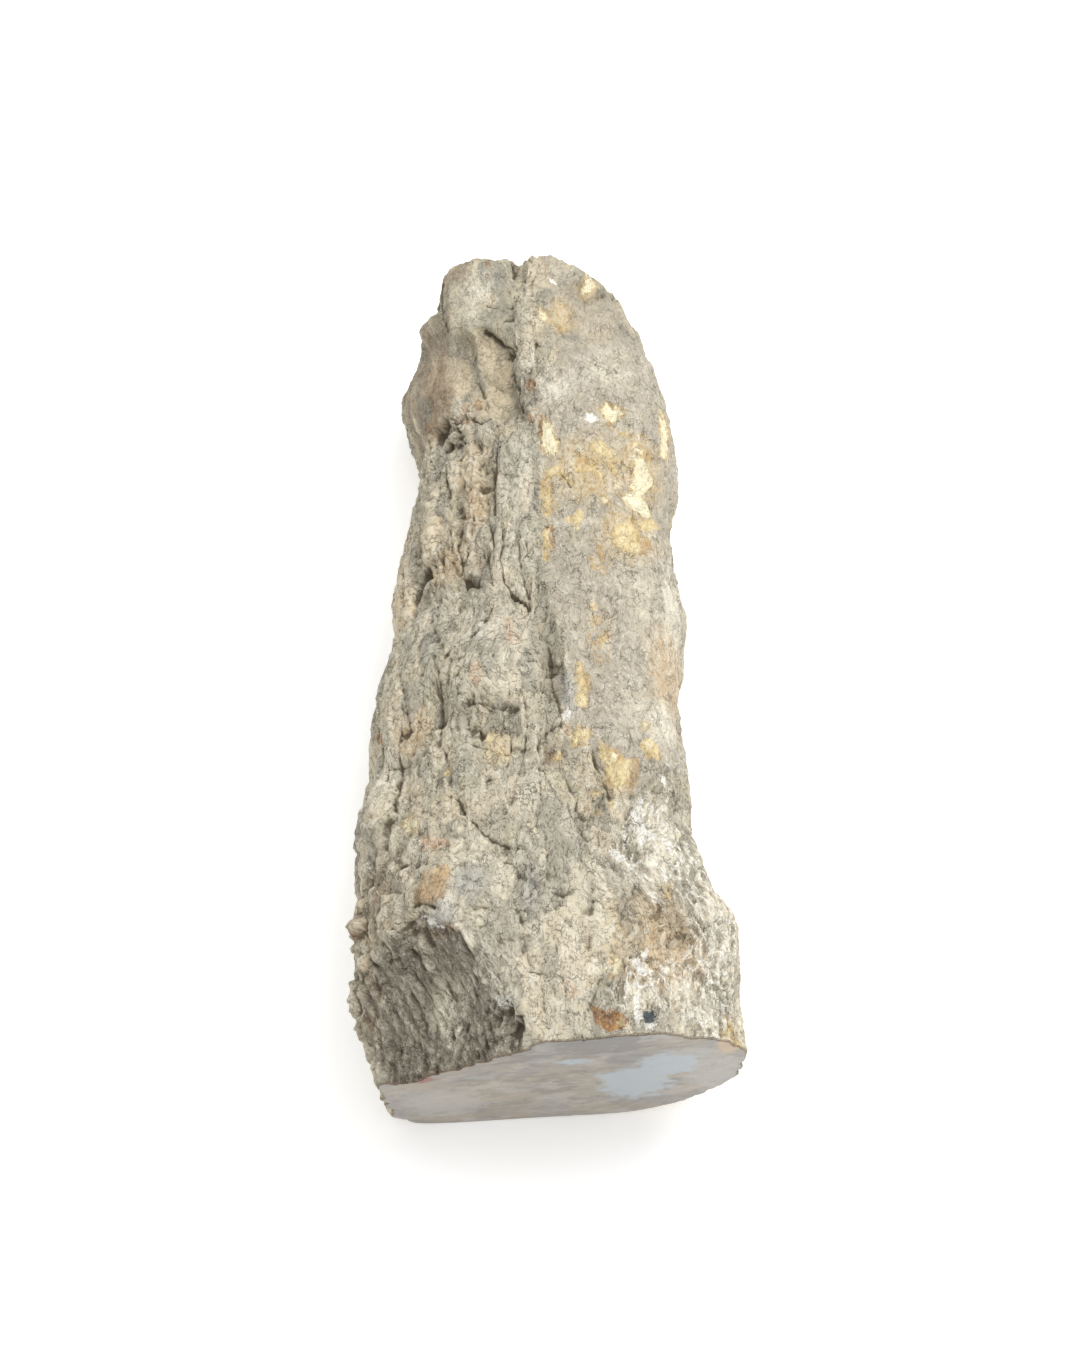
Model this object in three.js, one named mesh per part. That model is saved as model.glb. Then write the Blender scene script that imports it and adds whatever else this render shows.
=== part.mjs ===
// Petrified wood: one length of a silicified trunk, lying on its broad side.
// The near end is sawn flat, a little off square. The far end is a rough natural break.
// Millimetres. +Y runs along the grain away from the sawn end, +Z is up, the piece rests on Z = 0.
import * as THREE from "three";

// ---------------------------------------------------------------- driving dimensions
const LENGTH = 255; // sawn end to the tip of the break
const SAW_SKEW = 0.05; // the saw cut runs back this much per millimetre to the right
const THICKNESS = [[-127, 61.5], [-90, 60], [-40, 56.5], [0, 54], [50, 51.5], [100, 48.5], [118, 47], [130, 45]];
const LEFT_EDGE = [
  [-128, -41.0], [-118, -43.6], [-110, -46.6], [-100, -49.6], [-94, -47.8], [-86, -49.8], [-78, -48.2],
  [-68, -49.4], [-56, -48.6], [-42, -47.6], [-28, -48.0], [-17, -47.4], [0, -43.4], [7, -41.4], [22, -41.4],
  [38, -39.4], [52, -37.4], [66, -36.6], [72, -39.0], [87, -42.4], [97, -41.8], [103, -40.0], [108.5, -34.4],
  [113, -34.2], [122, -34.0], [131, -31.0],
];
const RIGHT_EDGE = [
  [-128, 47.2], [-112, 46.4], [-100, 46.6], [-92, 46.0], [-86, 43.6], [-80, 41.0], [-74, 39.0], [-67, 36.6],
  [-59, 36.0], [-47, 35.6], [-24, 34.2], [-10, 35.0], [4, 36.6], [11, 34.4], [20, 33.6], [35, 33.6], [48, 36.0],
  [62, 35.4], [78, 33.2], [92, 30.4], [104, 27.4], [113, 24.6], [120, 21.6], [131, 16.0],
];
const WAIST = { left: 0.45, right: 0.54 }; // the height of the widest line, as a share of the thickness
const FLAT_DROP = 1.1; // how far the lower curve would dip below the ground before it is worn flat
const UPPER_LEFT_ROUNDNESS = [[-128, 2.5], [90, 2.5], [106, 3.6], [131, 3.8]]; // exponents of the superellipse
const UPPER_RIGHT_ROUNDNESS = 3.3; // 2 would be an ellipse
const LOWER_ROUNDNESS = { left: 5.0, right: 1.7 };
const BREAK_REACH = [ // how far the break reaches along Y, by the direction around the section in degrees
  [-180, 121], [-120, 119], [-60, 114], [-15, 108], [15, 106], [33, 107], [43, 113], [50, 116.5], [72, 124.5],
  [81, 127.5], [87, 129.5], [93, 129.5], [95.5, 126], [99, 127.5], [113, 127.5], [132, 127.5], [152, 125.5], [180, 121],
];
const BREAK_CENTRE = [-4, 122, 22];

// mesh density
const AROUND = 74;
const ALONG = 58;
const BREAK_RINGS = 5;
const UNDERSIDE_DENSITY = 0.4; // share of the top's density around the section

// ---------------------------------------------------------------- small maths
const clamp01 = (t) => Math.min(1, Math.max(0, t));

function smoothstep(from, to, value) {
  const t = clamp01((value - from) / (to - from));
  return t * t * (3 - 2 * t);
}

// A smooth curve through [position, value] pairs.
function curve(knots) {
  return (at) => {
    const last = knots.length - 1;
    if (at <= knots[0][0]) return knots[0][1];
    if (at >= knots[last][0]) return knots[last][1];
    let k = 0;
    while (at > knots[k + 1][0]) k += 1;
    const [x0, v0] = knots[k];
    const [x1, v1] = knots[k + 1];
    const slope = (a, b) => (knots[b][1] - knots[a][1]) / (knots[b][0] - knots[a][0]);
    const m0 = slope(Math.max(0, k - 1), k + 1);
    const m1 = slope(k, Math.min(last, k + 2));
    const h = x1 - x0;
    const t = (at - x0) / h;
    const t2 = t * t;
    const t3 = t2 * t;
    return (2 * t3 - 3 * t2 + 1) * v0 + (t3 - 2 * t2 + t) * h * m0 + (3 * t2 - 2 * t3) * v1 + (t3 - t2) * h * m1;
  };
}

// Smooth lattice noise from -1 to 1, the same on every run.
function hash(i, j, k) {
  let h = Math.imul(i, 374761393) ^ Math.imul(j, 668265263) ^ Math.imul(k, 2147483647);
  h = Math.imul(h ^ (h >>> 13), 1274126177);
  return ((h ^ (h >>> 16)) >>> 0) / 2147483648 - 1;
}

function noise(x, y, z) {
  const [i, j, k] = [Math.floor(x), Math.floor(y), Math.floor(z)];
  const ease = (t) => t * t * (3 - 2 * t);
  const [u, v, w] = [ease(x - i), ease(y - j), ease(z - k)];
  let sum = 0;
  for (const [a, wa] of [[0, 1 - u], [1, u]])
    for (const [b, wb] of [[0, 1 - v], [1, v]])
      for (const [c, wc] of [[0, 1 - w], [1, w]])
        sum += wa * wb * wc * hash(i + a, j + b, k + c);
  return sum;
}

// Distance in plan from a point to a line of points, and the side: positive on the left of its run.
function alongLine(line, x, y) {
  let best = { distance: Infinity, side: 1, along: 0 };
  for (let k = 0; k + 1 < line.length; k += 1) {
    const [ax, ay] = line[k];
    const [dx, dy] = [line[k + 1][0] - ax, line[k + 1][1] - ay];
    const t = clamp01(((x - ax) * dx + (y - ay) * dy) / (dx * dx + dy * dy));
    const [ex, ey] = [x - ax - t * dx, y - ay - t * dy];
    const distance = Math.hypot(ex, ey);
    if (distance < best.distance)
      best = { distance, side: Math.sign(dx * ey - dy * ex) || 1, along: (k + t) / (line.length - 1) };
  }
  return best;
}

// ---------------------------------------------------------------- the trunk before its relief
const thicknessAt = curve(THICKNESS);
const leftAt = curve(LEFT_EDGE);
const rightAt = curve(RIGHT_EDGE);
const breakReachAt = curve(BREAK_REACH);
const upperLeftRoundnessAt = curve(UPPER_LEFT_ROUNDNESS);

// One cross-section at y: `angle` runs from 0 at the right side, over the top at 90 degrees, to -90 below.
function sectionPoint(y, angle) {
  const [left, right, thickness] = [leftAt(y), rightAt(y), thicknessAt(y)];
  const middle = (left + right) / 2;
  const [c, s] = [Math.cos(angle), Math.sin(angle)];
  const toRight = smoothstep(-0.5, 0.5, c);
  const waist = thickness * (WAIST.left + (WAIST.right - WAIST.left) * toRight);
  const upper = { left: upperLeftRoundnessAt(y), right: UPPER_RIGHT_ROUNDNESS };
  const roundness = s >= 0 ? upper : LOWER_ROUNDNESS;
  const power = 2 / (roundness.left + (roundness.right - roundness.left) * toRight);
  const rise = s >= 0 ? thickness - waist : waist * FLAT_DROP;
  const x = middle + ((right - left) / 2) * Math.sign(c) * Math.abs(c) ** power;
  return [x, waist + rise * Math.sign(s) * Math.abs(s) ** power];
}

// Angles spread evenly along the outline of a section, and wider apart below, where it lies.
function evenAngles(y) {
  const steps = 1440;
  const lengths = [0];
  let before = sectionPoint(y, -Math.PI);
  for (let k = 1; k <= steps; k += 1) {
    const point = sectionPoint(y, -Math.PI + (2 * Math.PI * k) / steps);
    const weight = point[1] < 4 ? UNDERSIDE_DENSITY : 1;
    lengths.push(lengths[k - 1] + weight * Math.hypot(point[0] - before[0], point[1] - before[1]));
    before = point;
  }
  const angles = [];
  let k = 0;
  for (let j = 0; j < AROUND; j += 1) {
    const goal = (lengths[steps] * j) / AROUND;
    while (lengths[k + 1] < goal) k += 1;
    const share = (goal - lengths[k]) / (lengths[k + 1] - lengths[k]);
    angles.push(-Math.PI + (2 * Math.PI * (k + share)) / steps);
  }
  return angles;
}

// ---------------------------------------------------------------- relief: lumps, pits, grooves, ledges
// Each returns millimetres outwards from the surface at a point. `up` is 1 on top and 0 on the sides.
const lump = (centre, radii, height) => (p) => {
  const d = [0, 1, 2].map((a) => (p[a] - centre[a]) / radii[a]);
  return height * Math.exp(-(d[0] ** 2 + d[1] ** 2 + d[2] ** 2));
};

const groove = (line, width, depth) => (p, up) => {
  const { distance, along } = alongLine(line, p[0], p[1]);
  const ends = smoothstep(0, 0.12, along) * smoothstep(1, 0.88, along);
  return -depth * (0.35 + 0.65 * ends) * Math.exp(-((distance / width) ** 2)) * up;
};

// A step down on the left of the line, which runs back up over `run` millimetres.
const ledge = (line, run, depth) => (p, up) => {
  const { distance, side } = alongLine(line, p[0], p[1]);
  const past = side * distance;
  return -depth * smoothstep(-1.2, 1.6, past) * Math.exp(-((Math.max(0, past) / run) ** 2)) * up;
};

const RELIEF = [
  // far end: the boss on the left with its undercut, the cleft, the ridge and the dished right side
  ledge([[-36, 99], [-29, 95], [-21, 96], [-17, 95], [-11, 88], [-10, 83]].reverse(), 13, 4.5),
  ledge([[-10, 84], [-10.6, 75], [-8.6, 68], [-6, 61]].reverse(), 9, 3.2),
  groove([[-10, 131], [-9.6, 120], [-8.8, 108]], 2.6, 5),
  lump([-4, 104, 47], [5, 26, 9], 1.6),
  lump([-23, 110, 44], [9, 12, 9], 1.4),
  lump([7, 101, 48], [8, 9, 7], -1.8),
  lump([17, 92, 46], [6, 15, 8], 0.9),
  // left shoulder of the far end and the two holes under it
  lump([-41, 86, 24], [7, 10, 14], 1.6),
  lump([-30, 59, 44], [4.5, 4.5, 8], -5),
  lump([-24, 54, 47], [3.5, 4, 8], -3.2),
  lump([-19, 64, 49], [6, 5, 8], 1.6),
  // the torn strip down the left of the middle
  groove([[-12.4, 42], [-11.6, 24], [-9.9, 6]], 2.6, 2.4),
  groove([[-26, 50], [-27.5, 34], [-24, 14]], 3.2, 2.6),
  groove([[-17, 46], [-18.5, 30], [-20.5, 4]], 2.6, 3),
  groove([[-30, 14], [-32, 7], [-34.5, 0]], 2.6, 3.4),
  lump([-22, 26, 51], [4, 9, 8], 1.4),
  lump([-33, 30, 46], [4, 14, 9], 1.4),
  // the plate on the right stands above the strip, and a valley runs down beside it
  ledge([[1.2, 58], [0.4, 40], [-0.4, 6]].reverse(), 7, 1.6),
  groove([[-9, -1], [-4, -6], [1, -19], [3.6, -31], [5.6, -41]], 3.6, 2.8),
  lump([18, 30, 53], [15, 34, 10], 0.8),
  lump([-16, -16, 56], [12, 14, 10], 1.5),
  groove([[-27, -20], [-26.4, -32], [-25, -46]], 2.6, 2),
  // below the plate: its foot, and the diagonal valley in front of the right shoulder
  ledge([[5, -44], [13, -47], [19, -57], [26, -60], [38, -60]].reverse(), 10, 2.4),
  groove([[8, -58], [14, -73], [19, -83], [26, -93], [33, -103]], 4.4, 3.4),
  lump([31, -102, 58], [4.5, 4.5, 8], -2.4),
  lump([41, -96, 46], [10, 18, 16], 2.2),
  // left flank: the split slab, its almond-shaped scale, the crack and the amber knob
  groove([[-37, -38], [-37.4, -56], [-36, -70]], 2.2, 2.6),
  lump([-43, -62, 47], [5, 9, 9], 2.2),
  groove([[-22, -62], [-19, -71], [-10, -77]], 2.6, 2.6),
  lump([-28, -84, 58], [8, 9, 9], 2.2),
  lump([-34, -73, 55], [6, 6, 8], 1.4),
  // knobs and notches along the lower left edge
  lump([-50, -89, 31], [4.5, 4.2, 9], 2.6),
  lump([-47, -95, 32], [5, 2.6, 12], -2.4),
  lump([-50, -103, 29], [5, 5.5, 10], 2.4),
  lump([-45, -115, 30], [5, 4, 10], -1.4),
];

// The scoop: a splinter pulled off the near left corner. Its floor is a plane that falls to the left.
const SCOOP_RIM = [[-60, -103], [-39, -100], [-32, -95], [-27, -94], [-20, -102], [-14, -110], [-7, -119], [-3, -129]];
const SCOOP_FLOOR = { height: 57.5, fallLeft: 0.72, riseAlong: 0.5, lowest: 33.5 };

function scoop(p) {
  const { distance, side } = alongLine(SCOOP_RIM, p[0], p[1]);
  const inside = smoothstep(-1.5, 1.5, -side * distance);
  const slope = SCOOP_FLOOR.height + SCOOP_FLOOR.fallLeft * (p[0] + 3) + SCOOP_FLOOR.riseAlong * (p[1] + 125);
  const floor = Math.max(SCOOP_FLOOR.lowest, slope);
  return inside * Math.max(0, p[2] - floor);
}

// Uneven growth and weathering: long swells that follow the grain, and smaller lumps on them.
function weathering(p, up) {
  const plate = smoothstep(-2, 6, p[0]) * smoothstep(-58, -48, p[1]) * up;
  const [x, y, z] = p;
  const swell = 1.5 * noise(x / 17 + 5.1, y / 38 + 2.7, z / 17 + 9.3);
  const ridges = 1.2 * noise(x / 6.5 + 1.7, y / 22 + 8.2, z / 6.5 + 3.9);
  const lumps = 0.9 * noise(x / 7 + 4.4, y / 9 + 6.1, z / 7 + 1.2);
  return swell * (1 - 0.5 * plate) + (ridges + lumps) * (1 - 0.7 * plate);
}

// ---------------------------------------------------------------- the solid
function surfacePoint(angle, share) {
  const degrees = (angle * 180) / Math.PI;
  const y = -LENGTH / 2 + (breakReachAt(degrees) + LENGTH / 2) * share;
  const [x, z] = sectionPoint(y, angle);
  const nudge = 0.002;
  const [ahead, behind] = [sectionPoint(y, angle + nudge), sectionPoint(y, angle - nudge)];
  const tangent = [ahead[0] - behind[0], ahead[1] - behind[1]];
  const size = Math.hypot(tangent[0], tangent[1]) || 1;
  const normal = [tangent[1] / size, -tangent[0] / size];
  const up = smoothstep(-0.15, 0.45, normal[1]);
  const below = smoothstep(-0.6, -0.95, normal[1]);
  const point = [x, y, z];
  let out = weathering(point, up) * (1 - 0.8 * below);
  for (const feature of RELIEF) out += feature(point, up);
  const placed = [x + normal[0] * out, y, z + normal[1] * out];
  placed[2] -= scoop(placed) * (1 - below);
  placed[2] = Math.max(placed[2], 2.6 * Math.max(0, noise(x / 15 + 3.3, y / 26 + 7.9, 0.5) - 0.05) * below);
  placed[1] += SAW_SKEW * placed[0] * (1 - share);
  if (share === 0) placed[1] = -LENGTH / 2 + 2.3 + SAW_SKEW * placed[0];
  return placed;
}

// The break closes the far end: rings of splintered relief that shrink to its middle.
function breakPoint(rim, ring) {
  const inwards = ring / BREAK_RINGS;
  const keep = 1 - inwards;
  const [cx, cy, cz] = BREAK_CENTRE;
  const x = cx + (rim[0] - cx) * keep;
  const z = cz + (rim[2] - cz) * keep;
  const steps = 2.4 * noise(x / 8 + 2.2, 0.5, z / 13 + 4.8) + 1.4 * noise(x / 4.2, 3.5, z / 9);
  const y = cy + (rim[1] - cy) * keep + steps * Math.sin(Math.PI * Math.sqrt(inwards));
  return [x, y, z];
}

function petrifiedWood() {
  const rings = [];
  for (let i = 0; i <= ALONG; i += 1) {
    const share = i / ALONG;
    const angles = evenAngles(-LENGTH / 2 + (LENGTH - 9) * share);
    rings.push(angles.map((angle) => surfacePoint(angle, share)));
  }
  const rim = rings[ALONG];
  for (let ring = 1; ring < BREAK_RINGS; ring += 1) rings.push(rim.map((point) => breakPoint(point, ring)));

  const positions = rings.flat();
  const faces = [];
  for (let i = 0; i + 1 < rings.length; i += 1) {
    for (let j = 0; j < AROUND; j += 1) {
      const [a, b] = [i * AROUND + j, i * AROUND + ((j + 1) % AROUND)];
      const [c, d] = [a + AROUND, b + AROUND];
      faces.push([a, d, b], [a, c, d]);
    }
  }
  // the sawn end is one flat fan, and the break ends in a small fan
  const sawn = rings[0];
  const middle = [2, 0, 27];
  middle[1] = -LENGTH / 2 + 2.3 + SAW_SKEW * middle[0];
  positions.push(middle, BREAK_CENTRE);
  const [sawnMiddle, breakMiddle] = [positions.length - 2, positions.length - 1];
  const lastRing = (rings.length - 1) * AROUND;
  for (let j = 0; j < sawn.length; j += 1) {
    const next = (j + 1) % AROUND;
    faces.push([sawnMiddle, j, next], [breakMiddle, lastRing + next, lastRing + j]);
  }

  const geometry = new THREE.BufferGeometry();
  geometry.setAttribute("position", new THREE.Float32BufferAttribute(positions.flat(), 3));
  geometry.setIndex(faces.flat());
  // the origin is on the ground under the middle of the piece
  geometry.computeBoundingBox();
  const { min, max } = geometry.boundingBox;
  geometry.translate(-(min.x + max.x) / 2, -(min.y + max.y) / 2, -min.z);
  geometry.computeVertexNormals();
  return geometry;
}

const stone = new THREE.MeshStandardMaterial({ color: 0xa39b85, roughness: 0.85, metalness: 0 });
const trunk = new THREE.Mesh(petrifiedWood(), stone);
trunk.name = "petrified_wood";

const part = new THREE.Group();
part.add(trunk);

export default part;
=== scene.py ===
import itertools
import math

import bmesh
import bpy
import numpy as np
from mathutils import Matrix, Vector
from mathutils.bvhtree import BVHTree


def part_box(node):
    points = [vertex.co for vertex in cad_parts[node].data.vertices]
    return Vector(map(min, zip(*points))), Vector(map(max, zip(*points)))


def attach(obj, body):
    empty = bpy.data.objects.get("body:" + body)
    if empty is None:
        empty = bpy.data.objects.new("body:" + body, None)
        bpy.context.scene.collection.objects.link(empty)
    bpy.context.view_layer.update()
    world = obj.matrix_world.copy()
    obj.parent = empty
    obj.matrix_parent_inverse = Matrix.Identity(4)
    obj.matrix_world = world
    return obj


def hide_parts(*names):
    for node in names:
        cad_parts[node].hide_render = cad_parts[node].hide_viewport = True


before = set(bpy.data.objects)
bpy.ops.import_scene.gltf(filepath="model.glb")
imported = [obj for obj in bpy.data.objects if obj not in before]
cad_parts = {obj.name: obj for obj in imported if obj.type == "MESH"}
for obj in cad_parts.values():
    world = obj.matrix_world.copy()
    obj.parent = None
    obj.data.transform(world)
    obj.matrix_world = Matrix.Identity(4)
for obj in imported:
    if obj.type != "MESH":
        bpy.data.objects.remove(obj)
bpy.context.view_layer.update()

# ---------------------------------------------------------------- the block
# One length of trunk turned to stone in a single piece: a barrel of rings from the sawn end
# to the far end, and rings that close over the rough break. All sizes are in millimetres.
MM = 0.001
SAW_SKEW = 0.05
SAW_INSET = 0.1
RING_STEP = 0.56
COLUMN_STEP = 0.56
RAYS = 540
TRIAL_RINGS = 120
GIRTH_EVERY = 20
UNDERSIDE_WEIGHT = 0.22
UNDERSIDE_FROM = math.radians(44)
UNDERSIDE_BLEND = math.radians(9)
BARREL_START = np.array([2.0, 0.0, 27.0])
BARREL_END = np.array([-4.0, 104.0, 24.0])
BLUR_REACH = 2.5
FACET_BLUR = 1.7
CLEFT_BLUR = 3.6
CLEFT_AT = (-8, 76)
CLEFT_REACH = (11, 20)
CLEFT_SOFTENING = 1.6

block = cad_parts["petrified_wood"]
low, high = (np.array(corner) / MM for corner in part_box("petrified_wood"))
block_points = np.array([point.co for point in block.data.vertices]) / MM
block_faces = [tuple(face.vertices) for face in block.data.polygons]
block_tree = BVHTree.FromPolygons(block_points.tolist(), block_faces)
saw_plane = np.max(SAW_SKEW * block_points[:, 0] - block_points[:, 1])


def smoothstep(start, stop, value):
    """0 at start, 1 at stop, and smooth between."""
    share = np.clip((value - start) / (stop - start), 0, 1)
    return share * share * (3 - 2 * share)


def ray_weight(angle):
    """How closely the columns stand: 1 above and beside, and less under the stone."""
    from_below = np.abs((angle + math.pi / 2 + math.pi) % (2 * math.pi) - math.pi)
    limit = math.pi / 2 - UNDERSIDE_FROM
    under = smoothstep(limit + UNDERSIDE_BLEND, limit - UNDERSIDE_BLEND, from_below)
    return 1 - (1 - UNDERSIDE_WEIGHT) * under


def hits(origin, directions):
    """Where rays from a point inside the block meet its surface."""
    return np.array([block_tree.ray_cast(origin, direction)[0] for direction in directions])


ray_angles = -math.pi / 2 + 2 * math.pi * np.arange(RAYS) / RAYS
ray_weights = ray_weight(ray_angles + math.pi / RAYS)


def barrel_ring(share):
    """The block's outline in a plane that turns from the saw cut's skew to square."""
    start = BARREL_START.copy()
    start[1] = SAW_SKEW * start[0] - saw_plane + SAW_INSET
    origin = start + (BARREL_END - start) * share
    slant = SAW_SKEW * (1 - share)
    directions = [(math.cos(a), slant * math.cos(a), math.sin(a)) for a in ray_angles]
    return hits(origin, directions)


def break_ring(rise):
    """The break's outline on a cone around the grain, from the barrel's end to its tip."""
    across, along = math.cos(rise), math.sin(rise)
    directions = [(across * math.cos(a), along, across * math.sin(a)) for a in ray_angles]
    return hits(BARREL_END, directions)


def weighted_gaps(ring):
    """The lengths from each point of a ring to the next, all the way round."""
    return np.linalg.norm(np.roll(ring, -1, axis=0) - ring, axis=1) * ray_weights


def even_columns(ring, count):
    """Points spaced evenly round a ring by its weighted length."""
    closed = np.vstack([ring, ring[:1]])
    run = np.concatenate([[0], np.cumsum(weighted_gaps(ring) + 1e-6)])
    goals = np.linspace(0, run[-1], count, endpoint=False)
    return np.stack([np.interp(goals, run, closed[:, axis]) for axis in range(3)], axis=1)


barrel_length = BARREL_END[1] + saw_plane
barrel_rings = int(barrel_length / RING_STEP)
barrel = [barrel_ring(i / barrel_rings) for i in range(barrel_rings + 1)]
columns = int(max(weighted_gaps(ring).sum() for ring in barrel[::GIRTH_EVERY]) / COLUMN_STEP)

# the break's rings are spaced by their mean distance over the surface
trial_rises = np.linspace(0, math.pi / 2, TRIAL_RINGS)[:-1]
trial = [break_ring(rise) for rise in trial_rises]
steps = [np.linalg.norm(b - a, axis=1).mean() for a, b in zip(trial, trial[1:])]
run = np.concatenate([[0], np.cumsum(steps)])
break_rings = int(run[-1] / RING_STEP)
rises = np.interp(np.linspace(0, run[-1], break_rings + 1)[1:], run, trial_rises)
rings = barrel + [break_ring(rise) for rise in rises]
base = np.array([even_columns(ring, columns) for ring in rings])


def blurred(grid, width):
    """A grid of points or numbers smoothed over `width` steps both ways."""
    reach = int(math.ceil(BLUR_REACH * width))
    kernel = np.exp(-0.5 * (np.arange(-reach, reach + 1) / width) ** 2)
    kernel /= kernel.sum()
    # the grid goes straight on past the sawn end, and stays the same past the tip
    first = 2 * grid[:1] - grid[reach:0:-1]
    last = np.repeat(grid[-1:], reach, axis=0)
    padded = np.concatenate([first, grid, last])
    rows = sum(k * padded[i:i + len(grid)] for i, k in enumerate(kernel))
    return sum(k * np.roll(rows, i - reach, axis=1) for i, k in enumerate(kernel))


def normals_of(grid):
    """The outward direction at each point of a grid."""
    along = np.gradient(grid, axis=0)
    around = np.roll(grid, -1, axis=1) - np.roll(grid, 1, axis=1)
    normal = np.cross(along, around)
    return normal / np.maximum(np.linalg.norm(normal, axis=2, keepdims=True), 1e-9)


base = blurred(base, FACET_BLUR / RING_STEP)
cleft_offsets = [(base[..., axis] - CLEFT_AT[axis]) / CLEFT_REACH[axis] for axis in range(2)]
cleft_share = np.exp(-cleft_offsets[0] ** 2 - cleft_offsets[1] ** 2)[..., None]
base += (blurred(base, CLEFT_BLUR / RING_STEP) - base) * np.clip(CLEFT_SOFTENING * cleft_share, 0, 1)
normal = normals_of(base)
rows = len(base)
place = base.reshape(-1, 3)
X, Y = place[:, 0], place[:, 1]
facing = normal.reshape(-1, 3)
# 1 on the faces that look up, and 1 on those that look down
up = smoothstep(-0.1, 0.35, facing[:, 2])
under = smoothstep(-0.55, -0.9, facing[:, 2])

# ---------------------------------------------------------------- the grain
# The stone kept the wood's build: long fibres, splintered steps and blocky cracks that follow
# the length, with a crumbly weathered crust. Each kind of surface is a sum of these patterns.
DRAWS = 1024
MASK = DRAWS - 1
SEED_STRIDE = 57
SWELL_GAIN = 1.55
RIDGE_FALL = 2.6
FAR = 1e9
dice = np.random.default_rng(11)
SHUFFLE = dice.permutation(DRAWS)
ARROWS = dice.normal(size=(DRAWS, 3))
ARROWS /= np.linalg.norm(ARROWS, axis=1, keepdims=True)
DOTS = dice.random((DRAWS, 3))
SHADES = dice.random(DRAWS)


def shuffled(cell, seed):
    """A number below DRAWS for each cell of space, another one for each seed."""
    first = SHUFFLE[(cell[:, 0] + SEED_STRIDE * seed) & MASK]
    return SHUFFLE[(SHUFFLE[(first + cell[:, 1]) & MASK] + cell[:, 2]) & MASK]


def swell(point, seed):
    """Smooth noise from about -1 to 1."""
    cell = np.floor(point).astype(np.int64)
    offset = point - cell
    ease = offset ** 3 * (offset * (offset * 6 - 15) + 10)
    total = np.zeros(len(point))
    for corner in itertools.product((0, 1), repeat=3):
        arrow = ARROWS[shuffled(cell + corner, seed)]
        weight = np.prod(np.where(corner, ease, 1 - ease), axis=1)
        total += weight * ((offset - corner) * arrow).sum(axis=1)
    return SWELL_GAIN * total


def scaled(size, stretch, at):
    """The points measured in steps of `size`, and of `size` times `stretch` along the grain."""
    return at / np.array([size, size * stretch, size])


def rough(size, stretch, seed, octaves, gain=0.5, at=place, fold=None):
    """Swells added up, each half the size and `gain` times the strength of the last."""
    total, reach = 0, 0
    for octave in range(octaves):
        share = gain ** octave
        noise = swell(scaled(size / 2 ** octave, stretch, at), seed + octave)
        total = total + share * (fold(noise) if fold else noise)
        reach += share
    return total / reach


def ridged(size, stretch, seed, octaves, gain, at):
    """Sharp crests between round troughs, up to 1."""
    return rough(size, stretch, seed, octaves, gain, at, lambda noise: 1 - RIDGE_FALL * np.abs(noise))


def cells(size, stretch, seed, at):
    """Broken blocks: the distance to the nearest joint, and a number for each block."""
    point = scaled(size, stretch, at)
    cell = np.floor(point).astype(np.int64)
    nearest = np.full(len(point), FAR)
    second = np.full(len(point), FAR)
    shade = np.zeros(len(point))
    for corner in itertools.product((-1, 0, 1), repeat=3):
        index = shuffled(cell + corner, seed)
        gap = np.linalg.norm(cell + corner + DOTS[index] - point, axis=1)
        closer = gap < nearest
        second = np.where(closer, nearest, np.minimum(second, gap))
        shade = np.where(closer, SHADES[index], shade)
        nearest = np.where(closer, gap, nearest)
    return second - nearest, shade


def stepped(value, steps, edge=0.12):
    """A slope cut into flat treads with steep risers."""
    level = value * steps
    tread = np.floor(level)
    return (tread + smoothstep(0.5 - edge, 0.5 + edge, level - tread)) / steps


def blobs(size, stretch, seed, at):
    """Rounded lumps of different heights, from 0 to 1."""
    joint, shade = cells(size, stretch, seed, at)
    return smoothstep(0, 0.5, joint) * (0.5 + 0.5 * shade)


def line_distance(line, x, y):
    """Distance in plan to a line, the side (1 on the left of its run) and the share along it."""
    best = np.full(len(x), FAR)
    side = np.ones(len(x))
    along = np.zeros(len(x))
    for k, ((ax, ay), (bx, by)) in enumerate(zip(line, line[1:])):
        dx, dy = bx - ax, by - ay
        share = np.clip(((x - ax) * dx + (y - ay) * dy) / (dx * dx + dy * dy), 0, 1)
        ex, ey = x - ax - share * dx, y - ay - share * dy
        distance = np.hypot(ex, ey)
        closer = distance < best
        best = np.where(closer, distance, best)
        side = np.where(closer, np.where(dx * ey - dy * ex >= 0, 1.0, -1.0), side)
        along = np.where(closer, (k + share) / (len(line) - 1), along)
    return best, side, along


def depth_inside(outline, x, y):
    """Distance in plan to a closed outline: positive inside it, negative outside."""
    distance = line_distance(outline + outline[:1], x, y)[0]
    crossings = np.zeros(len(x), dtype=int)
    for (ax, ay), (bx, by) in zip(outline, outline[1:] + outline[:1]):
        spans = (ay > y) != (by > y)
        with np.errstate(divide="ignore", invalid="ignore"):
            at = ax + (y - ay) * (bx - ax) / (by - ay)
        crossings += spans & (x < at)
    return np.where(crossings % 2 == 1, distance, -distance)


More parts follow.
